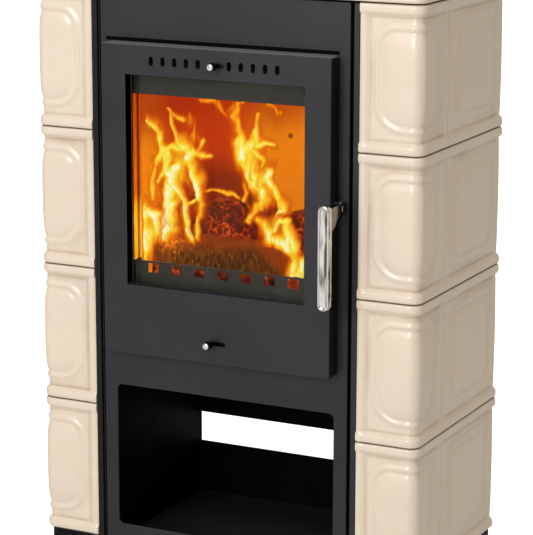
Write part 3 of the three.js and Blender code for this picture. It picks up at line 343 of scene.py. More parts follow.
def cast_look():
    """Cast iron with ash in its pores."""
    look = Look("cast_grate", Metallic=0.6, Roughness=0.75)
    grain = look.noise(420, 5, 0.7)
    ash = look.noise(45, 4)
    body = look.fade((52, 48, 46), (70, 62, 56), grain, 0.3, 0.7)
    body = look.fade(body, (150, 140, 128), ash, 0.5, 0.75, 0, 0.8)
    return look.finish((grain, 0.0008), Base_Color=body,
                       Metallic=look.span(ash, 0.5, 0.7, 0.6, 0))


def rope_look():
    look = Look("seal_rope", Roughness=0.95, Sheen_Weight=0.4)
    fibre = look.noise(1400, 3, 0.7)
    return look.finish((fibre, 0.0004),
                       Base_Color=look.fade((52, 51, 49), (98, 95, 90), fibre, 0.3, 0.7))


def log_look():
    """Pressed wood: short upright flakes standing close together, singed below. Its emission is
    painted firelight: the wood's own colour, orange towards its ends and on top.
    """
    look = Look("pressed_wood", Roughness=0.85, Specular_IOR_Level=0.15)
    across = look.stretched(330, 200, 110)
    flake = look.cells(1, across, "F1", "Color")
    tone = look.node("SeparateColor", {"Color": flake}).outputs[0]
    edge = look.cells(1, across)
    fibre = look.noise(1, 3, 0.65, look.stretched(700, 500, 160))
    body = look.ramp(tone, (0, 58, 26, 3), (0.4, 96, 50, 5), (0.75, 124, 72, 8),
                     (1, 150, 94, 16))
    body = look.fade(body, (64, 32, 4), fibre, 0.35, 0.7)
    body = look.fade(body, (34, 14, 2), edge, 0, 0.1, 0.6, 0)
    # Painted firelight, orange towards the ends and on top.
    firelit_part = look.plus(look.span(look.off(look.x, LOG_MIDDLE_X), 0.07, 0.112),
                    look.span(look.z, 0.535, 0.56))
    firelit_part = look.times(firelit_part, look.span(look.noise(20, 3), 0.35, 0.6, 0.25, 0.9))
    glow = look.blend(look.math("MINIMUM", firelit_part, 0.85), body, (168, 64, 6))
    singed = look.ramp(look.noise(60, 3, 0.6), (0.38, 14, 2, 1), (0.5, 92, 16, 10),
                       (0.6, 170, 62, 24), (0.68, 240, 160, 84))
    return look.finish((look.span(edge, 0, 0.3), 0.0022), (look.noise(500, 3), 0.0008),
                       Base_Color=look.fade(body, BLACK, look.z, 0.514, 0.506, 0.5, 0.92),
                       Emission_Color=look.fade(glow, singed, look.z, 0.514, 0.506),
                       Emission_Strength=0.62)


def ember_look(name, scale, strength, least):
    """Charred wood and coals that glow in their cracks."""
    look = Look(name, Roughness=0.9, Specular_IOR_Level=0.2)
    wobble = look.node("TexNoise", {"Vector": look.place, "Scale": 40, "Detail": 2})
    shift = look.node("VectorMath", {0: wobble.outputs["Color"], 1: (0.03, 0.03, 0.03)},
                      operation="MULTIPLY")
    warped = look.node("VectorMath", {0: look.place, 1: shift.outputs["Vector"]},
                       operation="ADD")
    crack = look.cells(scale, warped.outputs["Vector"])
    patch = look.noise(scale * 0.45, 3, 0.6)
    fine = look.noise(scale * 4, 4, 0.65)
    heat = look.times(look.span(crack, 0, 0.2, 1, 0.25), look.span(patch, 0.34, 0.68))
    heat = look.plus(look.times(heat, look.span(fine, 0.32, 0.68, 0.1, 1.2)), least)
    glow = look.ramp(heat, (0, 34, 5, 1), (0.2, 86, 16, 3), (0.45, 148, 38, 6),
                     (0.72, 214, 84, 14), (1, 248, 156, 60))
    return look.finish((look.span(crack, 0, 0.25), 0.004), (fine, 0.0016),
                       Base_Color=look.fade((22, 12, 8), (62, 32, 18), fine, 0.3, 0.7),
                       Emission_Color=glow, Emission_Strength=strength)


def flame_look():
    """Light alone, from red through yellow to white with its heat."""
    look = Look("flame", Roughness=1, Specular_IOR_Level=0, Base_Color=BLACK)
    streak = look.noise(1, 3, 0.6, look.stretched(110, 40, 24))
    heat = look.plus(look.attribute("warmth"), look.span(streak, 0.3, 0.7, -0.11, 0.11))
    glow = look.ramp(heat, (0, 170, 34, 2), (0.14, 212, 74, 3), (0.3, 240, 132, 10),
                     (0.46, 247, 180, 30), (0.64, 248, 222, 58), (0.84, 251, 240, 112),
                     (1, 255, 253, 222))
    look.shade(Emission_Color=glow, Emission_Strength=1, Alpha=look.attribute("veil"))
    return look.material


SATIN = ((31, 31, 37), (38, 38, 44), 0.44, 0.4)
SCALE = ((22, 22, 24), (30, 30, 32), 0.6, 0.3)
GLAZE = glaze_look()
PAINT = paint_look("grey_paint", *SATIN)
PANEL_PAINT = paint_look("panel_paint", *SATIN, gap_shadow=True)
DOOR_PAINT = paint_look("door_paint", (33, 33, 40), (40, 40, 47), 0.42, 0.4,
                        (0.1513, -0.1868, -0.1680), casing_light_and_shade=True)
# Painted shade: the left rail has the same paint as the right one, made darker.
LEFT_RAIL_SHADE_PAINT = paint_look("rail_paint_shaded", (17, 16, 17), (23, 22, 23), 0.5, 0.25)
DARK = paint_look("dark_steel", *SCALE)
LINER_PAINT = paint_look("liner_scale", *SCALE, (0.1545, -0.1700, -0.1680))
SHELL_PAINT = paint_look("shell_scale", *SCALE, (0.1560, -0.1600, -0.1600))
# Painted shade: the store's liner is near black, darker than paint, with little shine.
STORE_SHADE_PAINT = paint_look("store_black_shaded", (2, 2, 4), (5, 5, 9), 0.5, 0.05)
PLINTH_PAINT = paint_look("plinth_paint", (9, 8, 8), (15, 14, 14), 0.5, 0.15)
DEFLECTOR_PAINT = paint_look("deflector_paint", (46, 50, 49), (57, 60, 57), 0.5, 0.15)
CHROME = chrome_look("chrome", (236, 235, 232), (214, 212, 208))
KNOB_STEEL = chrome_look("knob_steel", (252, 252, 252), (240, 240, 240), KNOB_FACE_Y)
WEB_STEEL = chrome_look("web_steel", (150, 142, 132), (122, 114, 106))
GLASS = glass_look()
FIRECLAY = fireclay_look()
CAST = cast_look()
ROPE = rope_look()
LOG = log_look()
EMBERS = ember_look("embers", 80, 1.1, 0.16)
CHAR = ember_look("charred_log", 62, 1, 0.02)
FLAME = flame_look()


# ---- mesh helpers
SHARP_ANGLE = math.radians(55)


def add_piece(name, points, faces, material, body, replaces=(), marks=None):
    """A smooth mesh piece from points in millimetres. Marks are numbers kept at its points."""
    mesh = bpy.data.meshes.new(name)
    mesh.from_pydata((np.asarray(points, dtype=float) * MM).tolist(), [], faces)
    mesh.validate()
    mesh.polygons.foreach_set("use_smooth", [True] * len(mesh.polygons))
    for mark, values in (marks or {}).items():
        layer = mesh.attributes.new(mark, "FLOAT", "POINT")
        layer.data.foreach_set("value", np.asarray(values, dtype=np.float32))
    mesh.materials.append(material)
    mesh.update()
    mesh.set_sharp_from_angle(angle=SHARP_ANGLE)
    piece = add_object(name, mesh)
    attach(piece, body)
    if replaces:
        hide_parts(*replaces)
    return piece


def grid_faces(columns, rows, flip=False):
    """Quads of a grid of points stored column by column."""
    i, j = np.meshgrid(np.arange(columns - 1), np.arange(rows - 1), indexing="ij")
    a = i * rows + j
    quads = np.stack([a, a + rows, a + rows + 1, a + 1], axis=-1).reshape(-1, 4)
    return (quads[:, ::-1] if flip else quads).tolist()


def smooth_profile(stops, blur):
    """A smooth height curve through a few distances and heights."""
    step = 0.25
    distances, heights = zip(*stops)
    low, high = distances[0] - 4 * blur, distances[-1] + 4 * blur
    at = np.arange(low, high, step)
    raw = np.interp(at, distances, heights)
    reach = np.arange(-3 * blur, 3 * blur + step, step)
    weight = np.exp(-0.5 * (reach / blur) ** 2)
    weight /= weight.sum()
    padded = np.pad(raw, len(reach) // 2, mode="edge")
    soft = np.convolve(padded, weight, mode="valid")[:len(at)]
    return lambda distance: np.interp(distance, at, soft)


def rings_faces(ring_count, ring_size, loop=False):
    """Quads between rings of points. The last ring meets the first, or a face covers each end."""
    faces = []
    for ring in range(ring_count if loop else ring_count - 1):
        a, b = ring * ring_size, (ring + 1) % ring_count * ring_size
        for at in range(ring_size):
            after = (at + 1) % ring_size
            faces.append((a + at, a + after, b + after, b + at))
    if not loop:
        last = (ring_count - 1) * ring_size
        faces.append(tuple(range(ring_size - 1, -1, -1)))
        faces.append(tuple(range(last, last + ring_size)))
    return faces


def lathe(profile, centre, axis, steps, loop=False):
    """Points and faces of a turned solid. The profile is radius and place along the axis."""
    points = []
    for radius, along in profile:
        for step in range(steps):
            angle = 2 * math.pi * step / steps
            a, b = radius * math.cos(angle), radius * math.sin(angle)
            offset = {"X": (along, a, b), "Y": (b, along, a), "Z": (a, b, along)}[axis]
            points.append(tuple(start + shift for start, shift in zip(centre, offset)))
    return points, rings_faces(len(profile), steps, loop)


def hashed(ix, iz, seed):
    value = np.sin(ix * 127.1 + iz * 311.7 + seed * 74.7) * 43758.5453
    return value - np.floor(value)


def value_noise(x, z, seed):
    """Smooth noise of 0..1 with cells of one unit."""
    ix, iz = np.floor(x), np.floor(z)
    fx, fz = x - ix, z - iz
    fx, fz = fx * fx * (3 - 2 * fx), fz * fz * (3 - 2 * fz)
    low = hashed(ix, iz, seed) * (1 - fx) + hashed(ix + 1, iz, seed) * fx
    high = hashed(ix, iz + 1, seed) * (1 - fx) + hashed(ix + 1, iz + 1, seed) * fx
    return low * (1 - fz) + high * fz


def layered_noise(x, z, seed, layers=4):
    total, weight, size = 0, 0, 1
    for layer in range(layers):
        total = total + size * value_noise(x * 2 ** layer, z * 2 ** layer, seed + layer)
        weight += size
        size *= 0.5
    return total / weight


# ---- tile cladding
HALF_WIDTH = 326
FRONT_Y = -162.5
CORNER_RADIUS = 18
TILE_INNER_X = 225.5
FRONT_RUN = HALF_WIDTH - CORNER_RADIUS - TILE_INNER_X
ARC_RUN = CORNER_RADIUS * math.pi / 2
SIDE_LEG = 108 - CORNER_RADIUS
CORNER_RUN = FRONT_RUN + ARC_RUN + SIDE_LEG
SIDE_RUN = 217
TILE_HEIGHT = 220
TILES_TOP = 940
TILE_ROWS = 4
TILE_WALL = 14
FRAME_PLANE = -5
JOINT = 0.15
FACE_JOINT, FACE_LEVEL_JOINT = 0.3, 0.6
SIDES = (("right", 1), ("left", -1))


def cladding(run, out, z, side=1):
    """Points on the cladding: run along its plan from the front edge, out from its face."""
    run, out, z = np.broadcast_arrays(np.asarray(run, float), out, z)
    angle = np.clip((run - FRONT_RUN) / CORNER_RADIUS, 0, math.pi / 2)
    before = np.minimum(run - FRONT_RUN, 0)
    after = np.maximum(run - FRONT_RUN - ARC_RUN, 0)
    x = HALF_WIDTH - CORNER_RADIUS + before + (CORNER_RADIUS + out) * np.sin(angle)
    y = FRONT_Y + CORNER_RADIUS + after - (CORNER_RADIUS + out) * np.cos(angle)
    return np.stack([x * side, y, z], axis=-1)


# Heights from the tile's edge inwards, in distance and height out of the face.
level_bead = smooth_profile([
    (0, -2.4), (1.2, -0.9), (3, -0.2), (8, 0), (12, -0.5), (14, -1.8), (16, -4.4), (17.5, -5.6),
    (19.5, -5.5), (24, FRAME_PLANE)], 0.7)
inner_bead = smooth_profile([
    (0, -3.6), (2, -2), (5, -1.6), (9, -2.2), (11, -3.4), (13.5, -5.5), (16, -5.4),
    (20, FRAME_PLANE)], 0.7)
joint_bead = smooth_profile([
    (0, -5), (1, -4.4), (4, -3.7), (7, -4), (10, -4.6), (15, FRAME_PLANE)], 0.9)
medallion_rise = smooth_profile([
    (-5, 0), (-1.5, -0.15), (1, 0.4), (3.5, 2.1), (6, 2.7), (8.3, 2.3), (10.3, 0.9), (12, -0.1),
    (13.5, 0.2), (16, 1.5), (22, 3), (34, 4.3), (55, 5)], 0.6)


def rounded_depth(u, v, left, right, low, high, low_radius, high_radius):
    """Distance inside a rectangle with round corners, larger ones below."""
    cu, cv = (left + right) / 2, (low + high) / 2
    radius = np.where(v < cv, low_radius, high_radius)
    du = np.abs(u - cu) - ((right - left) / 2 - radius)
    dv = np.abs(v - cv) - ((high - low) / 2 - radius)
    outside = np.hypot(np.maximum(du, 0), np.maximum(dv, 0))
    return radius - outside - np.minimum(np.maximum(du, dv), 0)


def join_beads(*beads):
    rise = sum(np.maximum(bead, 0) ** 3 for bead in beads) ** (1 / 3)
    sink = np.minimum.reduce([np.minimum(bead, 0) for bead in beads])
    return rise + sink * np.clip(1 - rise / 1.5, 0, 1)


def relief(u, v, width, front_edge, medallion):
    """Height of the tile face at u along and v up the tile."""
    level = level_bead(np.minimum(v, TILE_HEIGHT - v)) - FRAME_PLANE
    left = (inner_bead(u) if front_edge else joint_bead(u)) - FRAME_PLANE
    right = joint_bead(width - u) - FRAME_PLANE
    bow = 1.4 * (1 - (2 * v / TILE_HEIGHT - 1) ** 2) - 0.6
    right = right + bow * np.exp(-(width - u) / 9)
    if not front_edge:
        left = left + bow * np.exp(-u / 9)
    rise = medallion_rise(rounded_depth(u, v, *medallion))
    return FRAME_PLANE + join_beads(level, left, right) + rise


def spaced(length, margin, fine, coarse):
    """Places from 0 to length, close together near both ends."""
    near = np.arange(0, margin, fine)
    count = max(int(round((length - 2 * margin) / coarse)), 1)
    middle = np.linspace(margin, length - margin, count + 1)
    return np.concatenate([near, middle, length - near[::-1]])


def drawn_in(places, length, gap):
    """Places from 0 to length, drawn in by a gap at both ends."""
    return gap + places * (length - 2 * gap) / length


# What a tile of each kind has: its start and width along the cladding, whether its left edge is the
# one beside the door, and its medallion's left, right, low and high edge and the radii of its corners.
TILE_KINDS = {
    "corner": (0, CORNER_RUN, True, (21, 172, 29, TILE_HEIGHT - 28, 48, 36)),
    "side": (CORNER_RUN, SIDE_RUN, False, (24, SIDE_RUN - 23, 31, TILE_HEIGHT - 28, 34, 28)),
}


def tile_piece(kind, word, side, row):
    """One tile: relief face, plain back and the four edges between them."""
    run0, width, front_edge, medallion = TILE_KINDS[kind]
    z0 = TILES_TOP - row * TILE_HEIGHT
    u, v = spaced(width, 24, 1.5, 2.6), spaced(TILE_HEIGHT, 24, 1.4, 2.6)
    columns, rows = len(u), len(v)
    grid_u, grid_v = np.meshgrid(u, v, indexing="ij")
    height = relief(grid_u, grid_v, width, front_edge, medallion)
    wander = layered_noise(grid_u / 60 + row * 7 + side, grid_v / 60, 3 + row, 2) - 0.5
    height = height + 0.7 * wander * np.clip(np.minimum(grid_u, width - grid_u) / 20, 0, 1)
    face = cladding(run0 + drawn_in(grid_u, width, FACE_JOINT), height,
                    z0 + drawn_in(grid_v, TILE_HEIGHT, FACE_LEVEL_JOINT), side)
    back = cladding(run0 + drawn_in(grid_u, width, JOINT), -TILE_WALL,
                    z0 + drawn_in(grid_v, TILE_HEIGHT, JOINT), side)
    low, high = columns * rows, columns * rows + columns
    edges = []
    for i in range(columns - 1):
        a, b = i * rows, (i + 1) * rows
        edges += [(low + i, low + i + 1, b, a),
                  (a + rows - 1, b + rows - 1, high + i + 1, high + i),
                  (low + i + 1, low + i, high + i, high + i + 1)]
    far = (columns - 1) * rows
    edges.append((high, low, *range(0, rows)))
    edges.append((low + columns - 1, high + columns - 1, *range(far + rows - 1, far - 1, -1)))
    if side < 0:
        edges = [corners[::-1] for corners in edges]
    level_edge = np.minimum(grid_v, TILE_HEIGHT - grid_v)
    # How much painted shade the glaze gets in the deep grooves, fading out at the tile's top and
    # bottom edges.
    recess_shade_amount = np.clip((-height - 4.6) / 1.2, 0, 1) ** 1.5 * np.clip(level_edge / 4, 0, 1)
    worn = np.clip(1 - level_edge / 0.9, 0, 1) * 0.8
    add_piece(f"{kind}_tile_relief_{word}_{row}",
              np.concatenate([face.reshape(-1, 3), back[:, 0], back[:, -1]]),
              grid_faces(columns, rows, side < 0) + edges, GLAZE, "stove",
              (f"{kind}_tile_{word}_{row}",),
              marks={"recess": np.append(recess_shade_amount, np.zeros(2 * columns)),
                     "bare": np.append(worn, np.ones(2 * columns))})


for tile_row in range(1, TILE_ROWS + 1):
    for side_word, side_sign in SIDES:
        for tile_kind in TILE_KINDS:
            tile_piece(tile_kind, side_word, side_sign, tile_row)


# ---- cornice
def rounded_section(corners, steps=6):
    """Points round a closed section whose corners are x, z and a rounding radius."""
    points = []
    count = len(corners)
    for at, (x, z, radius) in enumerate(corners):
        here = np.array([x, z])
        if radius == 0:
            points.append(here)
            continue
        back = np.array(corners[at - 1][:2]) - here
        ahead = np.array(corners[(at + 1) % count][:2]) - here
        reach = min(radius, 0.48 * np.linalg.norm(back), 0.48 * np.linalg.norm(ahead))
        start = here + back / np.linalg.norm(back) * reach
        end = here + ahead / np.linalg.norm(ahead) * reach
        for t in np.linspace(0, 1, steps):
            points.append((1 - t) ** 2 * start + 2 * t * (1 - t) * here + t ** 2 * end)
    return np.array(points)


CORNICE_SECTION = rounded_section([
    (-26, 0.15, 0), (-1.5, 1.5, 1.5), (0.3, 4.5, 2.5), (0.3, 8, 3), (-2.5, 12.5, 2.5),
    (-6.6, 16.5, 2), (-5.4, 22, 4), (-2, 31, 8), (5.5, 37.5, 6), (9.9, 42, 4), (9.9, 50, 4),
    (9.4, 57, 4), (5, 60, 4), (-10, 60, 3), (-26, 60, 0)])


def cornice_piece(word, node, stations, place, flip):
    out, rise = CORNICE_SECTION.T
    points = np.concatenate([place(station, out, TILES_TOP + rise) for station in stations])
    faces = rings_faces(len(stations), len(out))
    if flip:
        faces = [face[::-1] for face in faces]
    # Painted shade for the glaze in the cornice's hollow between its lower bead and upper roll.
    recess_shade_amount = np.clip((-out - 3.5) / 3, 0, 1) * (rise < 30) * (rise > 8)
    bare = (out < -20).astype(float)
    add_piece(word, points, faces, GLAZE, "stove", (node,),
              marks={"recess": np.tile(recess_shade_amount, len(stations)), "bare": np.tile(bare, len(stations))})


def add_cornice():
    corner = np.concatenate([[JOINT], np.linspace(20, FRONT_RUN, 4),
                             FRONT_RUN + ARC_RUN * np.linspace(0.04, 1, 24),
                             np.linspace(CORNER_RUN - 30, CORNER_RUN - JOINT, 3)])
    straight = np.linspace(CORNER_RUN + JOINT, CORNER_RUN + SIDE_RUN, 12)
    for word, side in SIDES:
        for kind, stations in (("corner", corner), ("side", straight)):
            cornice_piece(f"cornice_{kind}_glazed_{word}", f"cornice_{kind}_{word}", stations,
                          lambda run, out, z: cladding(run, out, z, side), side > 0)

    def front(x, out, z):
        return np.stack([np.full_like(out, x), FRONT_Y - out, z], axis=-1)
    half = TILE_INNER_X - JOINT
    cornice_piece("cornice_front_glazed", "cornice_front", np.linspace(-half, half, 12), front, True)


add_cornice()


# ---- CAD pieces that stay
def dress(material, *names, bevel=0.7, segments=2):
    """A material and softened edges for CAD nodes whose shape is right."""
    for name in names:
        piece = nodes[name]
        piece.data.materials.clear()
        piece.data.materials.append(material)
        for layer in [a for a in piece.data.attributes if a.name == "custom_normal"]:
            piece.data.attributes.remove(layer)
        weld = piece.modifiers.new("weld", "WELD")
        weld.merge_threshold = 0.00001
        flat = piece.modifiers.new("planes", "DECIMATE")
        flat.decimate_type = "DISSOLVE"
        flat.angle_limit = math.radians(1)
        if bevel:
            soft = piece.modifiers.new("soft_edges", "BEVEL")
            soft.width = bevel * MM
            soft.segments = segments
            soft.limit_method = "ANGLE"
            soft.angle_limit = math.radians(35)
            soft.use_clamp_overlap = True


def dress_frame():
    dress(PAINT, "tile_rail_right", "top_cover")
    dress(PANEL_PAINT, "front_panel")
    dress(LEFT_RAIL_SHADE_PAINT, "tile_rail_left")
    dress(DOOR_PAINT, "door_frame", bevel=1, segments=3)
    for material, *names in (
            (PLINTH_PAINT, "plinth"), (LINER_PAINT, "door_liner"), (SHELL_PAINT, "firebox_shell"),
            (STORE_SHADE_PAINT, "wood_store_liner"), (GLASS, "door_glass"), (ROPE, "glass_gasket"),
            (DEFLECTOR_PAINT, "upper_air_deflector", "lower_air_deflector"),
            (DARK, "floor_plate", "side_panel_left", "side_panel_right", "rear_cover",
             "hinge_bracket_upper", "hinge_bracket_lower", "latch_hook", "latch_catch",
             "upper_air_slider", "lower_air_slider")):
        dress(material, *names, bevel=0.4)
    dress(DARK, "ash_pan", bevel=0.3)
    dress(CHROME, "handle_bush", "handle_shaft", "hinge_pin_upper", "hinge_pin_lower", bevel=0.3)
    dress(CAST, "grate", bevel=1)
    dress(FIRECLAY, "lining_back", "lining_left", "lining_right", "lining_floor", "baffle_plate",
          bevel=2)


dress_frame()


# ---- turned pieces
def add_turned():
    knob = [(0.05, 22), (3, 22), (3, 14.4), (3.2, 14), (5.3, 14), (6, 13.7),
            (6.45, 13), (6.5, 12.2), (6.5, 4.6), (6.3, 3.2), (5.8, 2.1), (4.9, 1.2), (3.6, 0.5),
            (2, 0.12), (0.05, 0)]
    knob_end_y = -209.5
    for word, x, z in (("upper", 5, 837), ("lower", -4, 411)):
        points, faces = lathe(knob, (x, knob_end_y, z), "Y", 48)
        add_piece(f"{word}_air_knob_turned", points, faces, KNOB_STEEL, f"{word}_air",
                  (f"{word}_air_knob",))
    flue_y, low, high = 37.5, 858.3, 1045.3
    socket = [(73, low), (89.4, low), (90, low + 0.6), (90, low + 2.4), (89.4, low + 3),
              (77, low + 3), (75.3, low + 4.4), (75, low + 6), (75, high - 34),
              (74.6, high - 33), (74.6, high - 31.5), (75, high - 30.5), (75, high - 1.2),
              (74.7, high - 0.4), (74, high), (73.3, high - 0.4), (73, high - 1.2)]
    points, faces = lathe(socket, (0, flue_y, 0), "Z", 96, loop=True)
    add_piece("flue_collar_turned", points, faces, PAINT, "stove", ("flue_collar",))


add_turned()


# ---- handle
HANDLE_AXIS = (-172.5, 637)
HUB_X = 199.9
GRIP_X = 203.8
GRIP_FRONT_Y = -234.5
GRIP_TOP = 652


def grip_mesh():
    """The upright grip: a rounded bar with a shallow dished face inside a rim."""
    half_width, straight, thickness, arc_steps, side_steps = 10, 138, 12, 20, 16
    rings = [(9.95, thickness), (6, thickness), (3, 11.9), (1.5, 11.4), (0.5, 10.4), (0.05, 9),
             (0, 7), (0, 4.2), (0.2, 2.4), (0.8, 1.1), (1.7, 0.3), (2.7, 0), (3.3, 0.05),
             (3.8, 0.35), (4.3, 0.9), (5, 1.35), (6.2, 1.5), (8.2, 1.5), (9.95, 1.5)]
    middle_z = GRIP_TOP - half_width - straight / 2
    points = []
    for inset, depth in rings:
        radius = half_width - inset
        outline = []
        for end, start in ((1, 0), (-1, math.pi)):
            for step in range(arc_steps + 1):
                angle = start + math.pi * step / arc_steps
                outline.append((radius * math.cos(angle),
                                end * straight / 2 + radius * math.sin(angle)))
            for step in range(1, side_steps):
                outline.append((-end * radius, end * (straight / 2 - straight * step / side_steps)))
        points += [(GRIP_X + x, GRIP_FRONT_Y + depth, middle_z + z) for x, z in outline]
    return points, rings_faces(len(rings), len(outline))


def web_mesh():
    """The plate between grip and hub, seen from the side, with rounded edges."""
    y0, z0 = HANDLE_AXIS
    back = GRIP_FRONT_Y + 11
    outline = [(back, z0 + 6), (back + 6, z0 + 8), (back + 20, z0 + 8.5), (y0 - 14, z0 + 9)]
    for step in range(9):
        angle = math.radians(100 - 150 * step / 8)
        outline.append((y0 + 9 * math.cos(angle), z0 + 9 * math.sin(angle)))
    outline += [(y0 - 5, z0 - 12), (y0 - 18, z0 - 19), (y0 - 32, z0 - 26), (back + 4, z0 - 32),
                (back, z0 - 32)]
    outline = np.array(outline, float)
    inward = outline.mean(axis=0) - outline
    inward /= np.linalg.norm(inward, axis=1, keepdims=True)
    half, edge = 4, 1.2
    rounding = [(-half, edge), (-half + 0.35, 0.35), (-half + edge, 0), (half - edge, 0),
                (half - 0.35, 0.35), (half, edge)]
    points = [(GRIP_X + along, y, z) for along, inset in rounding
              for y, z in outline + inward * inset]
    return points, rings_faces(len(rounding), len(outline))


def add_handle():
    hub = [(0.05, -6.2), (9.6, -6.2), (10.6, -5.6), (11, -4.8), (11, 4.8), (10.6, 5.6),
           (9.8, 6), (6, 6.2), (5.6, 5.9), (0.05, 5.6)]
    for word, material, (points, faces) in (
            ("grip", CHROME, grip_mesh()), ("web", WEB_STEEL, web_mesh()),
            ("hub", CHROME, lathe(hub, (HUB_X, *HANDLE_AXIS), "X", 48))):
        add_piece(f"handle_{word}", points, faces, material, "handle", ("handle_lever",))


add_handle()


# ---- rope seal
def add_rope():
    """Braided rope in the channel behind the door, pressed a little flat."""
    half_x, low, high, corner = 160, 391, 848, 9
    middle_y, thickness, squeeze, pitch = -153.3, 5.05, 1.12, 9
    path = []
    for x, z, start in ((half_x, low, -90), (half_x, high, 0), (-half_x, high, 90),
                        (-half_x, low, 180)):
        cx = x - math.copysign(corner, x)
        cz = z + corner if z == low else z - corner
        for step in range(7):
            angle = math.radians(start + 90 * step / 6)
            path.append(np.array([cx + corner * math.cos(angle), cz + corner * math.sin(angle)]))
    dense = []
    for here, after in zip(path, path[1:] + path[:1]):
        count = max(int(np.linalg.norm(after - here) / 1.6), 1)
        dense += [here + (after - here) * step / count for step in range(count)]
    dense = np.array(dense)
    ahead = np.roll(dense, -1, axis=0) - np.roll(dense, 1, axis=0)
    ahead /= np.linalg.norm(ahead, axis=1, keepdims=True)
    lengths = np.concatenate([[0], np.cumsum(np.linalg.norm(np.diff(dense, axis=0), axis=1))])
    total = lengths[-1] + np.linalg.norm(dense[0] - dense[-1])
    turns = round(total / pitch)
    around = 20
    points = []
    for (x, z), (ahead_x, ahead_z), length in zip(dense, ahead, lengths):
        phase = 2 * math.pi * turns * length / total
        for step in range(around):
            angle = 2 * math.pi * step / around
            weave = 0.3 * abs(math.sin(2 * angle + phase)) + 0.3 * abs(math.sin(2 * angle - phase))
            radius = thickness + weave
            push = radius * math.cos(angle)
            points.append((x + ahead_z * push, middle_y + squeeze * radius * math.sin(angle),
                           z - ahead_x * push))
    add_piece("door_rope_braid", points, rings_faces(len(dense), around, loop=True), ROPE, "door",
              ("door_rope_seal",))


add_rope()


# ---- logs and embers
BED_Z = 475.3


def lumpy_log(name, material, centre, half, power, turn, seed, bumps, rings=64, around=48, blunt=14):
    """A log lying along X before its turn: a rounded bar with an uneven skin."""
    hx, hy, hz = half
    points = []
    for ring in range(rings + 1):
        t = -1 + 2 * ring / rings
        along = math.copysign(abs(math.sin(t * math.pi / 2)) ** 0.8, t)
        shrink = max(1 - abs(along) ** blunt, 0.0004) ** (1 / 3)
        for step in range(around):
            angle = 2 * math.pi * step / around
            c, s = math.cos(angle), math.sin(angle)
            reach = (abs(c) ** power + abs(s) ** power) ** (-1 / power)
            rough = float(layered_noise(np.array(along * hx / 9 + 40), np.array(4 * c + 9),
                                        seed + (1 if s > 0 else 2), 3)) - 0.5
            swell = 1 + bumps * rough / min(hy, hz) * (1 if abs(s) > 0.05 else 0.4)
            points.append((along * hx, c * reach * hy * shrink * swell,
                           s * reach * hz * shrink * swell))
    about_x, about_y, about_z = turn
    spin = np.array(turned(about_z, "Z", 3) @ turned(about_y, "Y", 3) @ turned(about_x, "X", 3))
    add_piece(name, np.array(points) @ spin.T + np.array(centre), rings_faces(rings + 1, around),
              material, "stove")


def add_ember_bed():
    """A low heap of coals on the fire bed."""
    side, front, back, step = 143, -139, 91, 3
    x, y = np.arange(-side, side + 0.1, step), np.arange(front, back + 0.1, step)
    gx, gy = np.meshgrid(x, y, indexing="ij")
    lumps = layered_noise(gx / 16 + 30, gy / 16 + 9, 11, 4)
    ridge = 1 - np.abs(2 * layered_noise(gx / 22 + 5, gy / 22 + 50, 17, 2) - 1)
    mound = 16 * np.exp(-(gy + 20) ** 2 / 9000) + 6
    edge = np.minimum.reduce([gx + side, side - gx, gy - front, back - gy])
    height = (mound + 16 * (lumps - 0.4) + 5 * ridge) * np.clip(edge / 12, 0.12, 1)
    beside = np.exp(-((gx - 108) / 20) ** 2) + np.exp(-((gx + 146) / 10) ** 2)
    height = height + 24 * beside * np.exp(-((gy + 112) / 30) ** 2) * np.clip(edge / 5, 0.1, 1)
    height = np.maximum(height, 0.6)
    columns, rows = gx.shape
    rim = [(i, 0) for i in range(columns)] + [(columns - 1, j) for j in range(1, rows)]
    rim += [(i, rows - 1) for i in range(columns - 2, -1, -1)]
    rim += [(0, j) for j in range(rows - 2, 0, -1)]
    top = np.stack([gx, gy, BED_Z + height], axis=-1).reshape(-1, 3)
    low = [(x[i], y[j], BED_Z) for i, j in rim]
    start, count = columns * rows, len(rim)
    faces = grid_faces(columns, rows)
    for at, (i, j) in enumerate(rim):
        after = (at + 1) % count
        next_i, next_j = rim[after]
        faces.append((start + at, start + after, next_i * rows + next_j, i * rows + j))
    faces.append(tuple(start + at for at in range(count - 1, -1, -1)))
    add_piece("ember_bed", np.concatenate([top, low]), faces, EMBERS, "stove")


def add_logs():
    lumpy_log("front_log", LOG, (-29, -102, 516.2), (113, 33, 40), 6, (0, 1.8, 0),
              seed=5, bumps=1, rings=90, around=64, blunt=30)
    for word, centre, half, power, turn, seed, bumps in (
            ("middle", (-36, -30, 560), (62, 44, 50), 2.6, (0, 4, 82), 8, 9),
            ("left", (-92, -28, 528), (70, 36, 40), 2.4, (0, -6, 70), 12, 8),
            ("right", (68, -24, 545), (72, 40, 46), 2.4, (0, 5, 104), 15, 8),
            ("back", (0, 48, 520), (118, 34, 38), 2.3, (0, -3, 4), 19, 8)):
        lumpy_log(f"charred_log_{word}", CHAR, centre, half, power, turn, seed, bumps)


add_ember_bed()
add_logs()


# ---- flames
ROOM_HALF_WIDTH, ROOM_TOP = 146, 797
FLAME_STEP = 1.5
LEAST_HEAT = 0.07

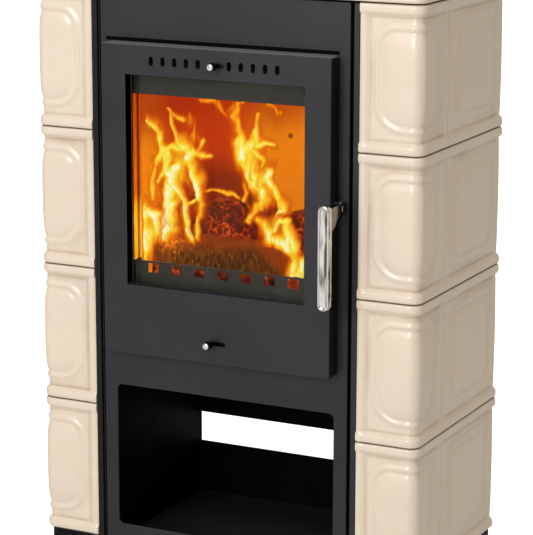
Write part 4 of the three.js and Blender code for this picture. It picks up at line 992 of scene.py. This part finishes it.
# Each flame is how hot it is, and a chain of x, z and half width.
LEFT_FLAMES = [
    (1.15, (-118, 554, 7), (-108, 570, 9), (-110, 602, 9.5), (-106, 632, 8), (-103, 650, 7.5),
     (-107, 667, 8.5), (-114, 683, 7)),
    (0.9, (-114, 683, 7), (-121, 700, 4), (-127, 721, 3), (-135, 729, 3.5), (-147, 734, 1.8)),
    (1.1, (-103, 648, 6), (-92, 668, 7.5), (-78, 684, 10.5), (-81, 703, 9)),
    (0.62, (-81, 703, 9), (-94, 721, 5.7), (-102, 733, 3.5), (-108, 748, 2.2)),
    (1.05, (-78, 690, 8), (-64, 675, 6.6), (-59, 651, 7.5), (-56, 635, 7.5)),
    (0.8, (-56, 635, 7.5), (-46, 618, 5), (-50, 596, 4), (-54, 577, 2.2), (-58, 558, 2)),
    (0.95, (-102, 637, 4.5), (-86, 619, 4), (-74, 609, 4.4), (-76, 592, 5.3), (-75, 568, 5.7),
     (-69, 555, 4.5)),
    (0.7, (-74, 609, 3.2), (-57, 626, 2.8), (-62, 634, 2)),
    (0.66, (-134, 614, 3.5), (-135, 647, 3.4), (-130, 671, 4.2), (-119, 692, 4.6),
     (-102, 701, 4.6), (-82, 703, 6.6)),
    (0.8, (-124, 640, 3), (-118, 657, 4.6), (-109, 675, 6.8)),
    (0.72, (-70, 697, 7.5), (-54, 692, 5), (-42, 694, 4), (-33, 692, 2)),
    (0.6, (-61, 696, 4.6), (-51, 705, 3.2), (-42, 716, 1.6)),
    (0.9, (-123, 562, 10), (-108, 589, 11), (-100, 607, 6.6)),
    (0.45, (-113, 756, 4.4), (-94, 747, 4.6), (-82, 741, 3.6)),
    (0.24, (-96, 690, 15), (-88, 652, 16)),
    (0.2, (-88, 652, 13), (-92, 612, 9)),
    (0.3, (-60, 720, 14), (-70, 745, 12)),
]
LEFT_EDGE_FLAMES = [
    (1, (-150, 602, 9), (-145, 575, 16), (-140, 562, 15), (-128, 576, 12), (-120, 592, 4)),
    (1.35, (-138, 590, 8), (-128, 586, 8)),
    (0.95, (-148, 558, 13), (-144, 543, 11), (-143, 528, 8), (-145, 516, 5)),
]
RIGHT_FLAMES = [
    (1.15, (43, 624, 3), (27, 654, 9.5), (14, 674, 11), (6, 692, 13), (-1, 707, 10)),
    (0.66, (-1, 707, 9), (-3, 730, 6), (-9, 748, 3.4), (-1, 768, 2.2)),
    (0.8, (13, 697, 12), (24, 715, 9.5), (25, 728, 5.3)),
    (0.5, (25, 728, 5.3), (31, 756, 3)),
    (0.75, (20, 702, 6.6), (39, 708, 4), (59, 707, 1.8)),
    (0.7, (23, 689, 6.6), (39, 682, 2.4), (37, 673, 1.4)),
    (1.5, (46, 662, 7), (50, 664, 8)),
    (0.95, (37, 652, 4.2), (48, 660, 7), (51, 649, 5), (62, 633, 5), (72, 621, 5.7),
     (75, 609, 3.6), (65, 596, 3), (60, 582, 4)),
    (0.55, (27, 654, 12), (36, 624, 8), (28, 602, 6), (16, 587, 5)),
    (0.26, (8, 700, 16), (26, 660, 18), (50, 622, 16)),
]
RIGHT_EDGE_FLAMES = [
    (1.1, (43, 592, 4), (55, 579, 10), (59, 567, 9), (80, 563, 7), (94, 561, 10)),
    (1.35, (92, 562, 8), (96, 554, 7)),
    (1.05, (94, 561, 9), (98, 548, 7.5), (99, 530, 7.5), (101, 514, 7)),
    (0.95, (67, 584, 4.6), (76, 598, 4.6), (89, 592, 6.6), (91, 577, 7.5), (94, 563, 8.8)),
    (1, (115, 541, 5), (114, 526, 7), (111, 515, 6)),
]
BACK_FLAMES = [
    (0.85, (-34, 568, 4), (-25, 584, 4.2), (-12, 593, 4.2), (-20, 575, 3.8), (-17, 558, 4.6)),
    (0.85, (-42, 543, 4), (-27, 551, 7.5), (-17, 558, 6), (-19, 537, 5)),
    (0.6, (-24, 597, 2.6), (-6, 620, 4.2), (-12, 637, 2.4)),
    (0.5, (-82, 620, 3), (-56, 623, 3), (-32, 620, 3.4), (-24, 608, 3)),
    (0.34, (-88, 763, 6), (-67, 762, 7), (-50, 752, 7), (-39, 745, 3.4)),
    (0.36, (-36, 753, 4.2), (-24, 761, 6), (-17, 765, 4.6)),
    (0.34, (31, 762, 7), (45, 753, 5.5), (59, 747, 3.4)),
    (0.3, (-30, 735, 8), (-12, 700, 10), (-14, 665, 8)),
]


def strand_heat(x, z, flames):
    """Heat of the flames' cores at points of the plane, and of the wide glow about them."""
    cool, glow = np.ones_like(x), np.zeros_like(x)
    for strength, *chain in flames:
        core, wide = np.zeros_like(x), np.zeros_like(x)
        for (x0, z0, w0), (x1, z1, w1) in zip(chain, chain[1:]):
            dx, dz = x1 - x0, z1 - z0
            t = np.clip(((x - x0) * dx + (z - z0) * dz) / (dx ** 2 + dz ** 2), 0, 1)
            gap = np.hypot(x - x0 - t * dx, z - z0 - t * dz)
            width = w0 + t * (w1 - w0)
            core = np.maximum(core, np.exp(-(gap / (0.8 * width)) ** 2))
            wide = np.maximum(wide, np.exp(-(gap / (1.8 * width + 7)) ** 2))
        cool = cool * (1 - min(strength, 1) * 0.97 * core)
        cool = cool - 0.55 * max(strength - 1, 0) * core
        glow = np.maximum(glow, min(strength, 1) * wide)
    return 1 - cool, glow


def wisps(x, z, seed, layers=4):
    """Noise that is 1 along thin winding lines."""
    return 1 - np.abs(2 * layered_noise(x, z, seed, layers) - 1)


def flame_piece(name, flames, y, seed, wave):
    """Thin closed bodies where a group of flames is hot enough to be seen."""
    xs, zs, _ = zip(*(point for _, *chain in flames for point in chain))
    x = np.arange(max(min(xs) - 22, -ROOM_HALF_WIDTH), min(max(xs) + 22, ROOM_HALF_WIDTH), FLAME_STEP)
    z = np.arange(max(min(zs) - 18, BED_Z + 3), min(max(zs) + 22, ROOM_TOP), FLAME_STEP)
    gx, gz = np.meshgrid(x, z, indexing="ij")
    drift_x = layered_noise(gx / 22 + seed, gz / 30, seed, 5) - 0.5
    drift_z = layered_noise(gx / 22 + seed + 60, gz / 30 + 20, seed + 9, 5) - 0.5
    core, glow = strand_heat(gx + 19 * drift_x, gz + 19 * drift_z, flames)
    fray = wisps((gx + 26 * drift_x) / 8 + seed, (gz + 20 * drift_z) / 26 + 40, seed + 21)
    wisp = wisps((gx + 30 * drift_x) / 11 + 90, (gz + 24 * drift_z) / 30, seed + 31)
    wisp = np.clip(1.7 * wisp - 0.4, 0, 1)
    heat = core * (0.30 + 0.88 * fray ** 1.6) + 0.36 * (1 - core) * glow * wisp ** 1.4
    shown = heat > LEAST_HEAT
    low, high = slice(None, -1), slice(1, None)
    corners = ((low, low), (high, low), (high, high), (low, high))
    cells = np.logical_and.reduce([shown[corner] for corner in corners])
    used = np.zeros_like(shown)
    for corner in corners:
        used[corner] |= cells
    count = int(used.sum())
    index = -np.ones(shown.shape, int)
    index[used] = np.arange(count)
    thick = 0.25 + 5 * np.clip(heat - LEAST_HEAT, 0, 1)
    middle = y + wave * (layered_noise(gx / 45 + seed + 7, gz / 60, seed + 33, 2) - 0.5)
    front = np.stack([gx, middle - thick, gz], axis=-1)[used]
    back = np.stack([gx, middle + thick, gz], axis=-1)[used]
    quads = np.stack([index[corner][cells] for corner in corners], axis=-1)
    faces = quads.tolist() + (quads[:, ::-1] + count).tolist()
    padded = np.pad(cells, 1)
    for beside, first, second in ((padded[:-2, 1:-1], 3, 0), (padded[2:, 1:-1], 1, 2),
                                  (padded[1:-1, :-2], 0, 1), (padded[1:-1, 2:], 2, 3)):
        edge = cells & ~beside
        p, q = index[corners[first]][edge], index[corners[second]][edge]
        faces += np.stack([q, p, p + count, q + count], axis=-1).tolist()
    warm = np.clip(heat[used], 0, 1.4)
    veil = np.clip((warm - LEAST_HEAT) / 0.34, 0, 1)
    veil = veil * veil * (3 - 2 * veil) * 0.84
    marks = {"warmth": np.tile(np.clip(warm * 0.92, 0, 1), 2), "veil": np.tile(veil, 2)}
    piece = add_piece(name, np.concatenate([front, back]), faces, FLAME, "stove", marks=marks)
    piece.visible_shadow = False


flame_piece("flame_left", LEFT_FLAMES, -131, 5, 8)
flame_piece("flame_left_edge", LEFT_EDGE_FLAMES, -140, 15, 3)
flame_piece("flame_right", RIGHT_FLAMES, -100, 25, 10)
flame_piece("flame_right_edge", RIGHT_EDGE_FLAMES, -118, 35, 8)
flame_piece("flame_back", BACK_FLAMES, -60, 45, 12)


# ---- floor, world and lights
def seen_directly(tree):
    """1 for what the camera sees as it is or through the glass, 0 for light that falls on things."""
    path = add_node(tree, "LightPath").outputs
    unscattered = compute(tree, "LESS_THAN", path["Diffuse Depth"], 0.5)
    through = compute(tree, "MULTIPLY", path["Is Transmission Ray"], unscattered)
    return compute(tree, "MAXIMUM", path["Is Camera Ray"], through)


def add_floor():
    look = Look("pale_floor", Roughness=0.9, Emission_Color=WHITE)
    look.shade(Base_Color=look.fade((0.6, 0.6, 0.6, 1), (0.63, 0.63, 0.63, 1),
                                    look.noise(40, 4), 0.3, 0.7),
               Emission_Strength=look.span(seen_directly(look.tree), 0, 1, 0.12, 1))
    mesh = bpy.data.meshes.new("floor")
    size = 40
    mesh.from_pydata([(-size, -size, 0), (size, -size, 0), (size, size, 0), (-size, size, 0)], [],
                     [(0, 1, 2, 3)])
    mesh.materials.append(look.material)
    add_object("floor", mesh)


def add_world():
    """A white background, and warm light of its own for what it falls on."""
    world = bpy.data.worlds.new("studio")
    world.use_nodes = True
    tree = world.node_tree
    tree.nodes.clear()
    light, shown = (add_node(tree, "Background", {"Color": colour, "Strength": strength})
                    for colour, strength in (((1, 0.90, 0.785, 1), 0.495), (WHITE, 1)))
    mix = add_node(tree, "MixShader",
                   {0: seen_directly(tree), 1: light.outputs[0], 2: shown.outputs[0]})
    add_node(tree, "OutputWorld", {0: mix.outputs[0]})
    scene.world = world


def add_lamp(name, kind, place, power, colour):
    data = bpy.data.lights.new(name, kind)
    data.energy = power
    data.color = colour
    lamp = add_object(name, data)
    lamp.location = place
    return lamp


def add_area(name, place, target, size, power):
    lamp = add_lamp(name, "AREA", place, power, (1, 1, 1))
    lamp.data.size = size
    aim = Vector(target) - Vector(place)
    lamp.rotation_euler = aim.to_track_quat("-Z", "Y").to_euler()


def add_glow(name, place, power, colour, radius=0.02):
    """Light of the fire, whose lamp itself is not seen."""
    lamp = add_lamp(name, "POINT", place, power, colour)
    lamp.data.shadow_soft_size = radius
    for ray in ("camera", "glossy", "transmission"):
        setattr(lamp, f"visible_{ray}", False)


def add_lights():
    add_area("key", (-0.4, -4.6, 2.1), (0, -0.1, 0.6), 1.8, 110)
    add_area("top", (0.1, -1.3, 3.4), (0, -0.15, 0.6), 1.6, 13)
    add_glow("glow_back", (0.02, 0, 0.66), 0.8, (1, 0.36, 0.04))
    add_glow("glow_left", (-0.05, -0.07, 0.62), 0.4, (1, 0.30, 0.03))
    for word, height, power, colour in (("low", 0.56, 0.44, (1, 0.74, 0.18)),
                                        ("middle", 0.66, 0.24, (1, 0.50, 0.05)),
                                        ("high", 0.75, 0.16, (1, 0.28, 0.03))):
        add_glow(f"glow_edge_{word}", (-0.105, -0.149, height), power, colour, 0.004)


add_floor()
add_world()
add_lights()
scene.view_settings.view_transform = "Standard"
scene.view_settings.look = "None"
